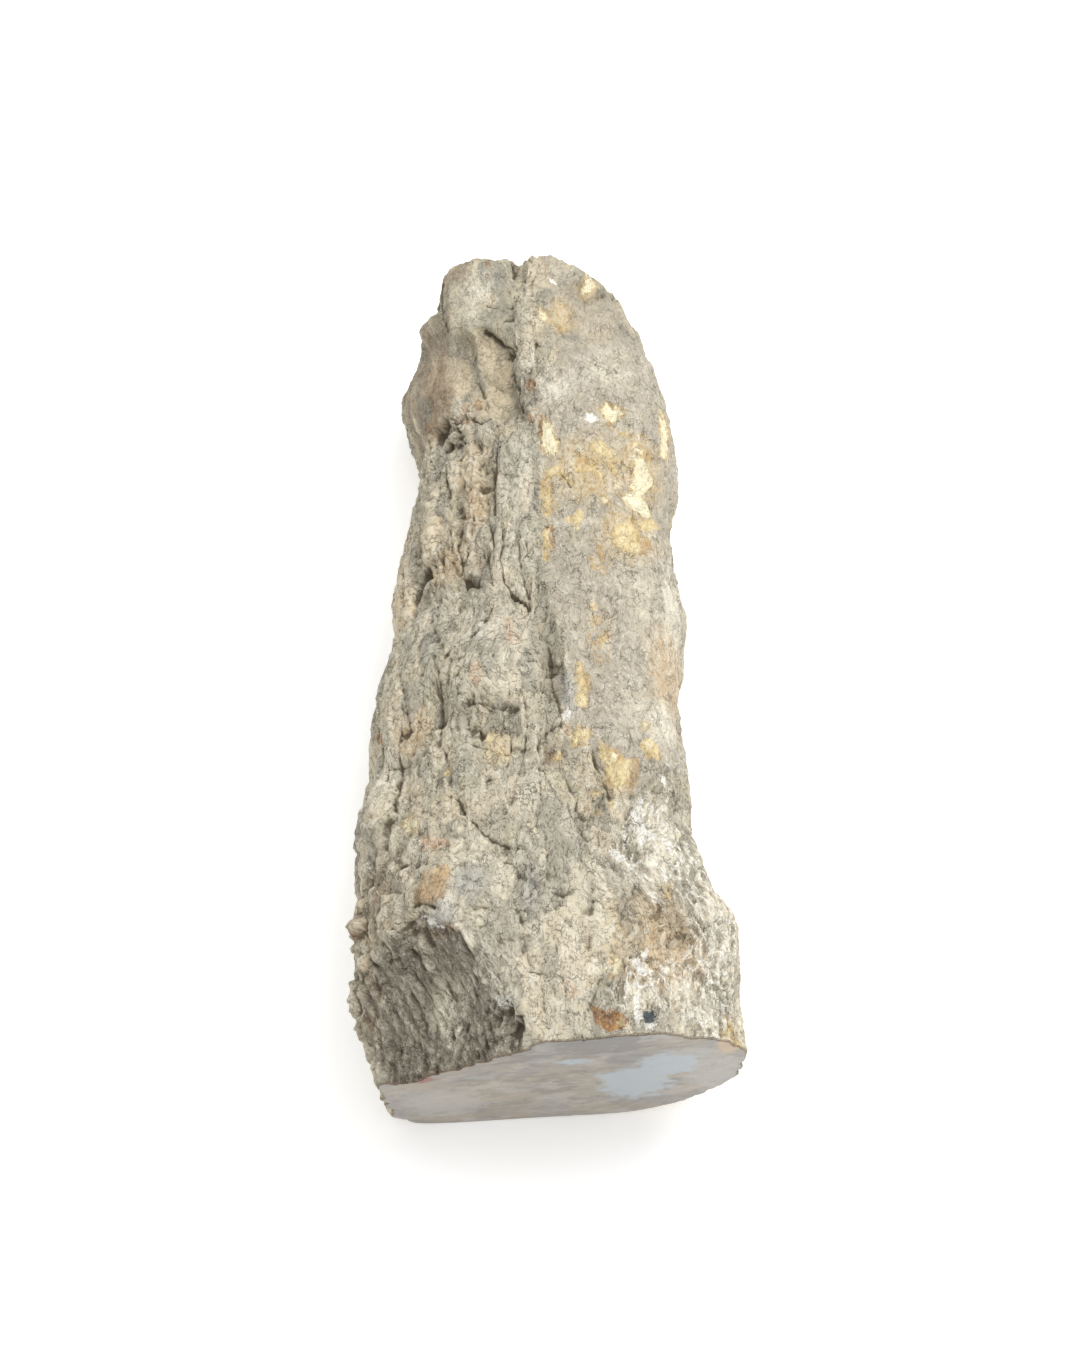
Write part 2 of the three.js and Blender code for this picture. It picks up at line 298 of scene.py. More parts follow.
# the plan is warped a little, so that no edge or patch is a drawn curve
WARP_WIDE = np.array([1.3, 2.6, 1.3])
WARP_FINE = np.array([0.8, 1.2, 0.8])
EASED_SHARE = 0.35
BEND_WIDE = np.array([0.5, 1.0, 0.5])
BEND_FINE = np.array([0.3, 0.4, 0.3])
drift = np.stack([rough(9, 1.6, seed, 3) for seed in (101, 111, 121)], axis=1)
ragged = np.stack([rough(2.6, 1.8, seed, 3, 0.6) for seed in (131, 141, 151)], axis=1)
warped = place + drift * WARP_WIDE + ragged * WARP_FINE
WX, WY = warped[:, 0], warped[:, 1]
eased = place + EASED_SHARE * (warped - place)
EX, EY = eased[:, 0], eased[:, 1]

# where the fibres lean from the stone's length: x, y, reach and degrees, which are above zero
# where they run to the right on their way to the sawn end
LEANS = [(-28, -108, 17, 30), (-8, -114, 7, -18), (-18, -14, 13, -38), (-38, -18, 16, -14),
         (25, -86, 13, 30), (3, -20, 9, 12), (12, -54, 8, 20)]
straight_flow = place + drift * BEND_WIDE
for x, y, reach, lean in LEANS:
    weight = np.exp(-((X - x) ** 2 + (Y - y) ** 2) / reach ** 2) * up
    straight_flow[:, 0] += weight * math.tan(math.radians(lean)) * (Y - y)
flow = straight_flow + drift * BEND_WIDE + ragged * BEND_FINE


def creases(size, stretch, seed, width):
    """1 along thin wandering splits and 0 between them."""
    return smoothstep(width, 0.02, np.abs(rough(size, stretch, seed, 2, 0.45, flow)))


# the patterns: size, stretch along the grain, seed, octaves and gain
crumbs = rough(3.0, 1.6, 211, 4, 0.6, flow)
grit = rough(1.5, 1.3, 216, 2, 0.6, flow)
long_fibres = ridged(2.4, 6, 221, 3, 0.6, flow)
straight_fibres = ridged(1.9, 15, 236, 3, 0.6, straight_flow)
fibre_bundles = ridged(5, 11, 238, 2, 0.5, straight_flow)
bark_ridges = ridged(7, 4.5, 241, 3, 0.5, flow)
splinters = stepped(rough(6, 4.0, 251, 3, 0.5, flow), 4)
slabs = stepped(rough(9, 2.6, 261, 3, 0.5, flow), 3, 0.08)
chips = stepped(rough(3.4, 2.0, 266, 2, 0.5, flow), 3, 0.15)
joint, block_shade = cells(4.6, 2.4, 271, eased)
blocks = (block_shade - 0.5) - 0.5 * smoothstep(0.12, 0.0, joint)
small_joint, small_shade = cells(2.3, 1.6, 273, eased)
flakes = (small_shade - 0.5) - 0.4 * smoothstep(0.16, 0.0, small_joint)
plank_joint, plank_shade = cells(7.5, 3.2, 274, eased)
planks = (plank_shade - 0.5) - 0.4 * smoothstep(0.07, 0.0, plank_joint)
wrinkles = ridged(4.4, 1.8, 276, 3, 0.6, flow)
splits = creases(6, 4, 281, 0.12)
fine_splits = creases(3.2, 3, 286, 0.12)
cross_splits = creases(9, 0.7, 289, 0.06) * smoothstep(0.1, 0.3, rough(12, 1, 290, 2))
knobs = blobs(6, 1.1, 291, warped)
pits = smoothstep(0.36, 0.62, rough(3.2, 1.8, 301, 2, 0.5, flow))
holes = smoothstep(0.45, 0.7, rough(5, 1.4, 311, 2, 0.5, flow))
broken = smoothstep(-0.1, 0.35, rough(10, 1.5, 315, 2))

# the kinds of surface, as heights in millimetres
bark = (0.8 * bark_ridges + 0.9 * splinters + 0.35 * long_fibres + 0.3 * chips + 0.12 * crumbs + 0.12 * flakes
        - 0.4 * pits - 0.8 * splits * broken - 0.4 * fine_splits)
torn = (0.5 * bark_ridges + splinters + 0.9 * planks + 0.3 * wrinkles + 1.2 * blocks * broken
        + 0.3 * long_fibres + 0.15 * crumbs + 0.3 * flakes - 0.7 * pits - 1.2 * holes - 0.7 * splits
        - 0.3 * fine_splits)
panel = (0.9 * slabs + 1.3 * planks + 0.6 * splinters + 0.7 * blocks * broken + 0.12 * long_fibres
         + 0.2 * chips + 0.15 * flakes - 0.7 * splits * broken - 0.2 * fine_splits - 0.5 * cross_splits)
slab_face = (0.7 * splinters + 0.7 * planks + 0.35 * long_fibres + 0.2 * chips + 0.15 * flakes - 0.6 * splits
             - 0.3 * fine_splits)
swirled = (0.8 * wrinkles + 0.12 * crumbs + 0.6 * slabs + 0.5 * planks + 0.2 * flakes - 0.2 * pits
           - 0.6 * splits - 0.3 * fine_splits)
smooth_plate = (0.8 * slabs + 0.4 * rough(14, 2, 321, 2) + 0.1 * long_fibres + 0.1 * crumbs + 0.15 * chips
                - 0.4 * cross_splits - 0.4 * fine_splits * broken)
crumbly = (0.9 * blocks + 0.5 * chips + 0.2 * crumbs + 0.5 * splinters + 0.3 * flakes - 0.25 * pits
           - 0.3 * holes - 0.35 * fine_splits)
knobbly = (1.5 * knobs + 0.2 * crumbs + 0.4 * chips + 0.2 * flakes + 0.4 * splinters - 0.5 * pits
           - 0.4 * fine_splits - 0.4 * holes)
silky = (0.35 * rough(6, 4, 331, 2) + 0.2 * long_fibres + 0.1 * crumbs + 0.4 * slabs - 0.4 * splits * broken
         - 0.2 * fine_splits)
fanned = 0.9 * straight_fibres + 1.3 * fibre_bundles + 0.4 * planks + 0.2 * splinters + 0.1 * flakes

# ---------------------------------------------------------------- the faces of the stone
# Weather and breakage left each stretch of the top its own surface. Outlines are in plan, as
# the stone lies: X to the right, Y from the sawn end to the break.
ZONE_BLEND = 1.5
SWIRL_BLEND = 4
UNDERSIDE_WEAR = 0.85
PLATE = [(-1, 62), (0, 42), (1, 23), (2, 9), (3, -3), (6, -15), (8, -27), (7, -37), (10, -44), (14, -50),
         (18, -58), (24, -60), (30, -53), (38, -50), (60, -46), (60, 96), (30, 96), (6, 82), (0, 74)]
TORN_STRIP = [(-60, 62), (-60, 0), (-34, -1), (-20, 3), (-9, 0), (-12, 20), (-11, 40), (-14, 58),
              (-8, 62), (-20, 56)]
SLAB = [(-14, 58), (-11, 40), (-12, 20), (-9, 0), (-2, -4), (1, 12), (0, 60), (-8, 64)]
SWIRL = [(-40, 2), (-20, 4), (-9, 2), (0, -2), (2, -14), (-6, -28), (-22, -30), (-36, -24)]
MIDDLE = [(-60, 2), (-60, -62), (-36, -66), (-20, -62), (-10, -74), (8, -62), (14, -52), (9, -40),
          (7, -26), (4, -12), (0, -2), (-20, 3)]
NEAR_PANEL = [(-20, -64), (-8, -74), (8, -64), (12, -68), (22, -84), (34, -102), (40, -112), (44, -140),
              (-6, -140), (-6, -120), (-16, -106), (-24, -94), (-22, -80)]
SHOULDER = [(20, -60), (32, -58), (60, -62), (60, -140), (44, -140), (38, -114), (34, -104), (22, -82),
            (14, -68)]
NEAR_LEFT = [(-60, -64), (-36, -66), (-20, -64), (-24, -82), (-24, -93), (-34, -98), (-41, -104),
             (-43, -112), (-60, -112)]
BOSS = [(-30, 140), (-31, 104), (-27, 96), (-20, 93), (-14, 92), (-9, 88), (-8, 108), (-9, 140)]
CREST = [(-9, 140), (-8, 108), (-9, 88), (-9, 76), (-6, 66), (-2, 60), (0, 74), (2, 92), (0, 118),
         (-1, 140)]
FAR_RIGHT = [(-1, 140), (0, 118), (2, 92), (4, 80), (30, 92), (60, 96), (60, 140)]
FACETS = [(-27, 96), (-20, 93), (-14, 92), (-9, 88), (-9, 76), (-6, 64), (-13, 62), (-20, 66), (-24, 72),
          (-28, 84)]
LEFT_SHOULDER = [(-60, 110), (-31, 106), (-27, 96), (-28, 84), (-24, 72), (-28, 62), (-60, 62)]
SCOOP = [(-43, -112), (-41, -104), (-37, -99), (-32, -96), (-29, -93), (-25, -94), (-20, -98),
         (-15, -107), (-8, -116), (-5, -121), (-3, -140), (-60, -140)]
surfaces = {
    "plate": (PLATE, smooth_plate),
    "torn": (TORN_STRIP, torn),
    "slab": (SLAB, slab_face),
    "middle": (MIDDLE, panel),
    "near": (NEAR_PANEL, 0.8 * panel + 0.2 * grit),
    "shoulder": (SHOULDER, crumbly),
    "near_left": (NEAR_LEFT, knobbly),
    "boss": (BOSS, silky),
    "crest": (CREST, 0.8 * torn),
    "far_right": (FAR_RIGHT, 0.5 * bark + 0.5 * smooth_plate),
    "facets": (FACETS, silky),
    "left_shoulder": (LEFT_SHOULDER, 0.6 * bark),
    "scoop": (SCOOP, fanned),
}


def inside_share(outline, blend):
    """1 inside an outline and 0 outside, across a ragged edge, on faces that look up."""
    return smoothstep(-blend, blend, depth_inside(outline, WX, WY)) * up


zone = {name: inside_share(outline, ZONE_BLEND) for name, (outline, _) in surfaces.items()}
covered = sum(zone.values())
relief = sum(zone[name] * kind for name, (_, kind) in surfaces.items()) / np.maximum(covered, 1)
relief += bark * np.clip(1 - covered, 0, 1)
relief += (swirled - relief) * inside_share(SWIRL, SWIRL_BLEND)
# the flanks swell in and out, so that the stone's outline is never a smooth curve
flank = smoothstep(0.8, 0.35, facing[:, 2]) * (1 - under)
relief += flank * (rough(8, 1.2, 351, 3, 0.6) + 0.4 * chips)
knobbly_flank = flank * smoothstep(-76, -90, Y) * smoothstep(-20, -32, X)
relief += knobbly_flank * (2.2 * knobs - 1.4)

LINE_FADE = 0.12
WELT_FADE = 0.2


def faded(along, share):
    """1 along a line, falling to 0 over a share of it at each end."""
    return smoothstep(0, share, along) * smoothstep(1, 1 - share, along)


def crack(line, width, depth):
    """A split in a shallow trough: its height, the distance to it (below 0 on its right), its strength."""
    distance, side, along = line_distance(line, EX + 0.5 * ragged[:, 0], EY + 0.5 * ragged[:, 1])
    ends = faded(along, LINE_FADE) * up
    strength = ends * np.clip(0.85 + 1.1 * crumbs + 0.6 * grit, 0, 1.3)
    split = np.clip(1 - distance / (width * (0.35 + 0.65 * strength) + 0.01), 0, 1) ** 1.2
    trough = np.exp(-(distance / (2.6 * width)) ** 2)
    return -depth * (0.6 * split * strength + 0.4 * trough * ends), side * distance, strength


def ledge(line, run, depth, edge=0.8):
    """A broken step down on the left of the line, which climbs back over `run`."""
    distance, side, along = line_distance(line, EX, EY)
    past = side * distance
    back = np.exp(-(np.maximum(0, past) / run) ** 2)
    return -depth * smoothstep(-edge / 2, edge, past) * back * faded(along, LINE_FADE) * up


def welt(line, width, height):
    """A rounded ridge along the line."""
    distance, _, along = line_distance(line, EX, EY)
    return height * np.exp(-(distance / width) ** 2) * faded(along, WELT_FADE) * up


def dent(x, y, across, along, depth):
    """A pit with a ragged edge, or a knob where the depth is negative."""
    span = np.hypot((EX - x) / across, (EY - y) / along)
    return -depth * smoothstep(1.3, 0.1, span + 0.5 * crumbs + 0.6 * flakes) * up


def plate(outline, rise, edge):
    """A broken piece that stands above the rest, or a pocket where the rise is negative."""
    depth = depth_inside(outline, X + 0.6 * ragged[:, 0], Y + 0.8 * ragged[:, 1])
    return rise * smoothstep(-0.3, edge, depth) * up


# the torn strip's long slabs: x and height across it, which fade at both its ends
STRIP_PROFILE = [(-44, 0), (-39, 0.5), (-34, 0.4), (-30, 0.6), (-26, -0.2), (-22, -0.9), (-15, -1.3),
                 (-12.6, -0.9), (-11.4, 0.5), (-8, 0.7), (-3, 0.4), (0, 0.2), (3, 0)]
across, rise_across = zip(*STRIP_PROFILE)
strip_share = smoothstep(-4, 8, WY) * smoothstep(62, 52, WY) * up
relief += np.interp(flow[:, 0] + 0.5 * ragged[:, 0], across, rise_across) * strip_share

# splits: the line in plan, and how wide and how deep each is next to the others
CRACKS = [
    ([(-18, 95), (-14.5, 93), (-11.5, 90.5), (-9, 88), (-8.5, 86), (-9, 82), (-8, 77), (-7, 72),
      (-6.5, 67.5), (-5.5, 64.5), (-3, 60.5)], 1.5, 3.8),
    ([(-8, 127), (-7.5, 122.5), (-8, 117)], 1.2, 1.6),
    ([(-8.5, 112), (-8, 106.5), (-8, 101)], 0.8, 1.4),
    ([(-30, 125), (-30, 113), (-28.5, 99), (-27, 94)], 1.4, 2.2),
    ([(-18.5, 79), (-17.5, 77), (-16, 74), (-15, 70), (-14.5, 66)], 0.8, 1.5),
    ([(-11, 24), (-10, 18), (-10.5, 11), (-9, 4), (-7, 0), (-5, -2), (-2, -6)], 1.0, 2.0),
    ([(-22, 26), (-22.5, 19), (-20.5, 10), (-19.5, 2)], 1.0, 2.0),
    ([(-5.5, 22), (-5.5, 12), (-4, 2), (-3, -3)], 0.9, 1.5),
    ([(-29, -17), (-26.5, -24), (-25.5, -32), (-25, -40), (-25.5, -48)], 1.1, 1.7),
    ([(-36, -35), (-36.5, -42), (-35.4, -51), (-36.2, -59), (-36, -65), (-40, -68)], 1.0, 1.7),
    ([(-23, -61.5), (-21, -62.5), (-19.5, -65), (-18.5, -67)], 1.1, 2.2),
    ([(-18, -67.5), (-14, -72), (-12, -74), (-9.5, -75.5), (-6.5, -76.9)], 1.3, 2.4),
    ([(-6, -77), (-4.5, -77.5), (-3, -78.4)], 0.9, 1.6),
    ([(-9, -79.5), (-7, -81), (-5.5, -82.5), (-5, -86)], 0.8, 1.8),
    ([(-16, -94.5), (-14.5, -93), (-12, -93.5)], 0.6, 1.3),
    ([(3, -88), (6, -88.5), (9, -88.5)], 0.9, 1.5),
    ([(-6.5, -90), (-4.5, -94), (-3.5, -98.5), (-3, -104), (-2, -109)], 0.9, 1.4),
    ([(14, -74), (17, -79.5), (20, -82.5), (22.5, -85), (25, -88), (27.5, -91.5), (30, -96)], 1.4, 1.2),
    ([(29.5, -95), (31, -100), (36, -103), (38, -109), (40.5, -114.5), (43, -119)], 1.2, 1.1),
    ([(1, -11), (3, -20), (3.5, -29), (5, -33), (6, -38), (5.5, -43)], 1.4, 2.0),
    ([(13, -46), (14, -52), (15.5, -55.5), (17, -59.5), (18, -62.5)], 1.0, 1.5),
    ([(6.5, -55), (9, -62), (10.5, -68), (12.5, -75)], 1.0, 1.4),
    ([(-10.5, -2), (-15, -11), (-18, -16), (-20, -20), (-26, -20.5)], 0.8, 1.3),
    ([(-11, -38), (-15.5, -35.5), (-20, -35.5)], 1.2, 1.6),
    ([(-16.5, 105), (-13.5, 103.5), (-11, 101.5), (-9, 100)], 0.8, 1.6),
    ([(-20.5, 64.5), (-19, 63), (-17, 61), (-15, 61.5), (-13.5, 63)], 1.2, 2.4),
    ([(-8, 0), (-6, -1.5), (-4, -3), (-2.5, -6)], 1.3, 2.6),
    ([(-4.5, -34), (-3.5, -37), (-3, -41), (-4, -52)], 0.9, 1.6),
    ([(-31.5, -91), (-28, -91.5), (-25, -93)], 0.8, 2.0),
    ([(-3.5, -109), (-1, -109.5), (1, -110)], 0.7, 1.4),
    ([(1.5, 23.5), (1.5, 9)], 1.1, 0.9),
    ([(0, -108), (2.5, -112), (4, -117)], 0.7, 1.2),
    ([(22, -105), (26.5, -105.5)], 0.6, 1.2),
    ([(-10, -102), (-7, -100.5), (-5, -101)], 0.6, 1.0),
    ([(7.5, 67), (9, 64.5), (10, 63.5), (12, 62)], 0.7, 1.2),
    ([(12, 72.5), (15, 71.5), (18, 71.5)], 0.6, 1.0),
    ([(11.5, 41.5), (12.4, 37.5), (11.6, 35.5), (11.3, 31.5), (10, 28)], 0.8, 1.2),
    ([(5.5, 41), (7.5, 37.5), (8.8, 34.5)], 0.7, 1.4),
    ([(7, -64), (8.8, -67.5)], 1.0, 1.6),
    ([(10.5, -65.5), (11.5, -68.5), (11, -72.5)], 1.1, 1.8),
    ([(-6, -91.5), (-5, -94), (-3.5, -96), (-3, -99.5)], 0.7, 1.3),
    ([(0.5, 53), (0, 57), (0.5, 61)], 0.8, 1.2),
]
# steps: the line in plan, the run over which it climbs back, its depth, and the edge's width
LEDGES = [
    ([(-12, 8), (-11.5, 20), (-12, 34), (-12.5, 48), (-15, 57)], 5, 1.0),
    ([(-25, -47), (-24, -40), (-25, -32), (-27, -24)], 6, 1.0),
    ([(-20, -36), (-14, -36), (-9, -38)], 5, 1.2),
    ([(-3, 58), (-5.5, 64), (-7, 69), (-8, 75.5), (-9, 79.5), (-8.5, 85.5), (-11.5, 90.5), (-14, 93.5),
      (-16, 95.5), (-20.5, 96)], 7, 1.7),
    ([(-14, 60), (-15, 70), (-16, 75.5), (-18, 82.5), (-19, 91), (-19.5, 95)], 5, 1.5),
    ([(-9, 128), (-8, 118), (-7, 112)], 5, 1.4),
    ([(38, -47), (30, -53), (25, -59), (20, -61), (15, -59)], 8, 1.0),
    ([(19, 114), (15, 109.5), (13, 107.5), (11, 106), (10.5, 102.5)], 8, 0.9, 1.4),
    ([(-4, -126), (-6, -121), (-9, -115), (-15, -107), (-19, -99), (-25, -94), (-30, -93),
      (-37, -99)], 9, 1.8),
]
# ridges: the line in plan, the width and the height
WELTS = [
    ([(-29, 31), (-29, 22), (-27.5, 14)], 2.0, 1.5),
    ([(-18, 52), (-18.5, 42), (-18, 33)], 2.4, 1.2),
    ([(-35, 14), (-36.5, 6), (-36, -2)], 2.6, 1.2),
    ([(-23, -38), (-21, -44), (-17, -55)], 3.4, 0.9),
    ([(-5, 106), (-5, 96), (-5, 84), (-4.5, 70)], 2.4, 1.0),
    ([(-17.5, 72), (-16, 68), (-16.5, 63)], 2.0, 1.0),
    ([(-7, -18), (-14, -26), (-24, -30)], 3.0, 0.8),
    ([(6, -46), (9, -54), (12, -62)], 2.0, 0.9),
    ([(-28, -82), (-24, -82), (-21, -84), (-21, -89)], 2.4, 0.7),
    ([(22, 67), (26, 59), (28, 52), (30, 44), (32, 37)], 1.1, 0.6),
]
# pits, and knobs where the depth is below zero: x, y, half width, half length and depth
DENTS = [
    (-28.6, 62.6, 3.6, 3.0, 3.2), (-24.5, 59.5, 3.0, 2.4, 2.8), (-9.1, 87, 1.8, 1.8, 1.4),
    (-46, -90, 2.4, 2.6, -1.8), (-7.2, -37, 2.0, 1.8, 1.6), (-16.8, -43, 1.4, 1.2, 1.6),
    (-15, -44.4, 1.5, 1.2, 1.6), (-34.4, -39.5, 1.8, 1.2, 1.6), (3.6, -32, 1.6, 1.8, 1.0),
    (-8.2, -118.5, 2.0, 1.8, 2.0), (-5.6, -122.6, 1.4, 2.6, 2.2), (11, -93.3, 1.5, 1.4, 1.2),
    (26, -76, 1.6, 1.0, 1.0), (18, -81, 1.8, 1.6, 0.8), (32.3, -98.9, 4.4, 3.2, 0.9),
    (6, -88, 2.0, 1.4, 0.9), (-9.4, 97.4, 1.8, 1.1, 1.3), (-8.9, 103, 1.1, 0.9, 1.0),
    (-22, 64, 2.0, 2.4, 1.4), (-12.5, -57.6, 1.4, 0.8, 1.2), (0, -54.5, 2.2, 1.0, 1.0),
    (-33.4, -79.7, 1.2, 1.0, 1.4), (-30.2, -81.2, 1.3, 1.0, 1.4), (28, -92.4, 1.4, 2.2, 0.9),
    (-29.5, 38, 1.8, 0.9, 1.2), (11.5, 1, 1.4, 0.9, 0.6), (25.3, -3.2, 2.0, 0.7, 0.6),
    (-36, -93, 3.4, 5.0, -2.0), (-41, -62, 4.6, 9, -1.0), (1.5, 22, 1.2, 1.0, 0.8), (17, 121, 3, 3, -0.9),
    (23.5, 112, 4, 5, 0.9), (-3, 73, 1.6, 1.6, 0.8), (-8.5, 87, 1.3, 1.3, 1.6),
]
# standing pieces, and pockets where the rise is below zero: the outline, the rise and the edge
PLATES = [
    ([(-39, 22), (-36.5, 22), (-33.5, 18), (-33.5, 11), (-34, 5), (-34.5, -2.5), (-40, -2),
      (-40, 13)], 0.9, 0.6),
    ([(-31.5, 14.5), (-29.5, 14), (-28.5, 9.5), (-30, 9), (-31.5, 5), (-33.5, 1), (-34.3, 4),
      (-33, 10)], -3.6, 1.6),
    ([(-31.5, 38), (-27.5, 35.5), (-27, 28.5), (-27.5, 25), (-30.5, 26.5)], 0.9, 0.7),
    ([(-31.5, 24), (-27, 25), (-26, 15), (-28, 13), (-31.5, 15.5)], 1.3, 0.8),
    ([(-22.5, 57), (-19, 55.5), (-17, 50), (-17.5, 40.5), (-19.5, 38), (-22, 43)], 1.2, 0.8),
    ([(-21.5, 33), (-18.5, 32), (-18, 28), (-21, 28)], 0.9, 0.6),
    ([(-21.5, 27.5), (-15, 26), (-14, 16.5), (-19, 17), (-21.5, 22.5)], 0.9, 0.7),
    ([(-15, 28.5), (-12, 26.5), (-9, 16), (-11, 13.5), (-13, 19.5)], 0.9, 0.5),
    ([(-24, 35), (-22, 34), (-21.5, 29), (-23.5, 29)], -1.6, 0.9),
    ([(-21, 8.5), (-19, 9), (-16, 6.5), (-16.5, 3), (-20, 4)], -2.6, 1.4),
    ([(-25, 15), (-20.5, 15), (-20.5, 9), (-24, 9)], -1.0, 0.8),
    ([(-4, 11), (-1, 10.5), (-0.5, -2), (-2.5, -3)], 0.8, 0.5),
    ([(-38, -86), (-35, -86.5), (-33, -89), (-33.5, -98), (-36.5, -99), (-38.5, -96.5),
      (-38, -92)], 1.4, 0.7),
    ([(-5, -81), (1, -81), (2, -86), (-2.5, -88)], 0.6, 0.5),
    ([(11.5, -82), (15, -83), (14.5, -88), (12, -87)], 0.7, 0.5),
    ([(-20.5, -82), (-16, -81), (-15, -92), (-19, -93)], 0.7, 0.5),
    ([(-23.5, -32), (-20.5, -32), (-18, -44), (-15, -54), (-15.5, -58), (-21.5, -58),
      (-24, -47)], 0.9, 0.5),
    ([(-5, -34.5), (1.5, -34.5), (1.5, -51.5), (-4, -53.5)], 0.8, 0.5),
    ([(9.5, -47), (13, -47), (14.5, -59), (11.5, -60)], 0.8, 0.6),
    ([(-43, -48.5), (-37.5, -54.5), (-36.8, -60), (-38, -66), (-42.5, -69.5), (-48, -64),
      (-48, -56)], 1.2, 0.6),
    ([(-43, -25), (-39, -25), (-38, -33), (-39.5, -40), (-44, -38)], 0.8, 0.6),
    ([(28, -89), (33, -90), (34, -96), (29, -97)], -0.9, 0.8),
]
CRACK_REACH = 1.6
CRACK_LEAST_WIDTH = 0.35
CRACK_WIDENING = 0.35
CRACK_SINKING = 0.6
CRACK_PAINTED_SHADE_FROM = 0.4
CRACK_PAINTED_SHADE_FULL = 2.4
for piece in PLATES:
    relief += plate(*piece)
# painted shade: besides its side, each point keeps how dark its nearest crack is painted, darker for deeper
# cracks
crack_side = np.full(len(X), CRACK_REACH)
crack_painted_shade = np.zeros(len(X))
for line, width, depth in CRACKS:
    sunk, past, strength = crack(line, CRACK_LEAST_WIDTH + CRACK_WIDENING * width, CRACK_SINKING * depth)
    relief += sunk
    nearer = np.abs(past) < np.abs(crack_side)
    crack_side = np.where(nearer, past, crack_side)
    fade = np.clip(1 - np.abs(past) / CRACK_REACH, 0, 1)
    painted_shade = strength * fade * smoothstep(CRACK_PAINTED_SHADE_FROM, CRACK_PAINTED_SHADE_FULL, depth)
    crack_painted_shade = np.where(nearer, painted_shade, crack_painted_shade)
for step in LEDGES:
    relief += ledge(*step)
for ridge in WELTS:
    relief += welt(*ridge)
for pit in DENTS:
    relief += dent(*pit)
relief *= 1 - UNDERSIDE_WEAR * under

# ---------------------------------------------------------------- the skin as a mesh
# The block's surface with its relief, thinned where it is flat, and closed by the sawn face.
TRIANGLES = 190000
ARRIS = 0.35
RIM_RADIUS = 30
SAW_BLEND = 2.2
INSIDE = 0.06
RAGGED_SHARE = 0.35
CAVITY_NEAR = 1.1
CAVITY_WIDE = 2.6

height = relief.reshape(rows, columns)
skin = base + normal * height[..., None]
skin += (ragged * RAGGED_SHARE).reshape(rows, columns, 3) * (1 - under.reshape(rows, columns, 1))

# the near rings stay on the saw cut, with a small broken arris round it
to_plane = smoothstep(SAW_BLEND, 0, RING_STEP * np.arange(rows))[:, None]
cut_at = base[..., 1] + (skin[..., 0] - base[..., 0]) * SAW_SKEW
skin[..., 1] = skin[..., 1] * (1 - to_plane) + cut_at * to_plane
skin[0, :, 1] = SAW_SKEW * skin[0, :, 0] - saw_plane + ARRIS
skin[..., 2] = np.clip(skin[..., 2], 0, high[2])
skin[..., 0] = np.clip(skin[..., 0], low[0] + INSIDE, high[0] - INSIDE)
skin[..., 1] = np.clip(skin[..., 1], low[1], high[1] - INSIDE)


def stood_out(lift, least, full):
    """0 for a lift of `least` millimetres, and 1 for `full` millimetres more."""
    return np.clip((lift - least) / full, 0, 1)


# painted shade and painted highlight: the first mark below measures how far the surface sinks under its
# smoothed surroundings, to darken the colour there; the second how far it stands above them, to lighten it
near = blurred(height, CAVITY_NEAR / RING_STEP)
wide = blurred(height, CAVITY_WIDE / RING_STEP)
painted_hollow_shade = 0.7 * (stood_out(near - height, 0.06, 0.7) + stood_out(wide - height, 0.15, 1.8))
crest = 0.6 * (stood_out(height - near, 0, 0.6) + stood_out(height - wide, 0, 1.6))

rim_middle = skin[0].mean(axis=0)
rim = skin[0] + (rim_middle - skin[0]) * (ARRIS / RIM_RADIUS)
rim[:, 1] = SAW_SKEW * rim[:, 0] - saw_plane
tip = skin[-1].mean(axis=0)

points = np.vstack([rim, skin.reshape(-1, 3), tip[None]])
row, column = np.meshgrid(np.arange(rows), np.arange(columns), indexing="ij")
beside = (column + 1) % columns
corners = [(row, column), (row, beside), (row + 1, beside), (row + 1, column)]
quads = np.stack([down * columns + across for down, across in corners], axis=-1).reshape(-1, 4)
last = rows * columns
tips = [(last + at, last + (at + 1) % columns, len(points) - 1) for at in range(columns)]


def mesh_of(name, points, faces):
    """A mesh with these points, in metres, and faces."""
    mesh = bpy.data.meshes.new(name)
    mesh.from_pydata(points, [], faces)
    mesh.update()
    return mesh


mesh = mesh_of("petrified_wood_skin", (points * MM).tolist(), quads.tolist() + tips)


def spread_over(values):
    """A value for each point of the mesh: the rim takes the first ring's, the tip the last's."""
    grid = values.reshape(rows, columns)
    return np.concatenate([grid[0], grid.ravel(), grid[-1:].mean(axis=1)])


# ---------------------------------------------------------------- the colours' places
# Chert, iron and chalky crusts lie in ragged patches with torn edges, and some patches are painted shade. A
# patch is an outline in
# plan. Wide soft tints are ovals: x, y, half width, half length and, where turned, the degrees.
PX = EX + 0.9 * rough(3.0, 1.3, 401, 4, 0.7)
PY = EY + 1.2 * rough(3.0, 1.3, 411, 4, 0.7)
PATCH_REACH = 1.2


def patches_of(outlines):
    """1 well inside the outlines, 0 well outside, and 0.5 on their edges."""
    depth = np.full(len(PX), -PATCH_REACH)
    for outline in outlines:
        xs, ys = zip(*outline)
        close = (PX > min(xs) - PATCH_REACH) & (PX < max(xs) + PATCH_REACH)
        close &= (PY > min(ys) - PATCH_REACH) & (PY < max(ys) + PATCH_REACH)
        depth[close] = np.maximum(depth[close], depth_inside(outline, PX[close], PY[close]))
    return np.clip(0.5 + depth / (2 * PATCH_REACH), 0, 1) * up


def tints_of(ovals):
    """1 in the middle of an oval, falling to 0 at its edge."""
    best = np.zeros(len(PX))
    for x, y, across, along, *turn in ovals:
        angle = math.radians(sum(turn))
        dx, dy = PX - x, PY - y
        aside = math.cos(angle) * dx + math.sin(angle) * dy
        ahead = math.cos(angle) * dy - math.sin(angle) * dx
        best = np.maximum(best, 1 - np.hypot(aside / across, ahead / along))
    return best * up


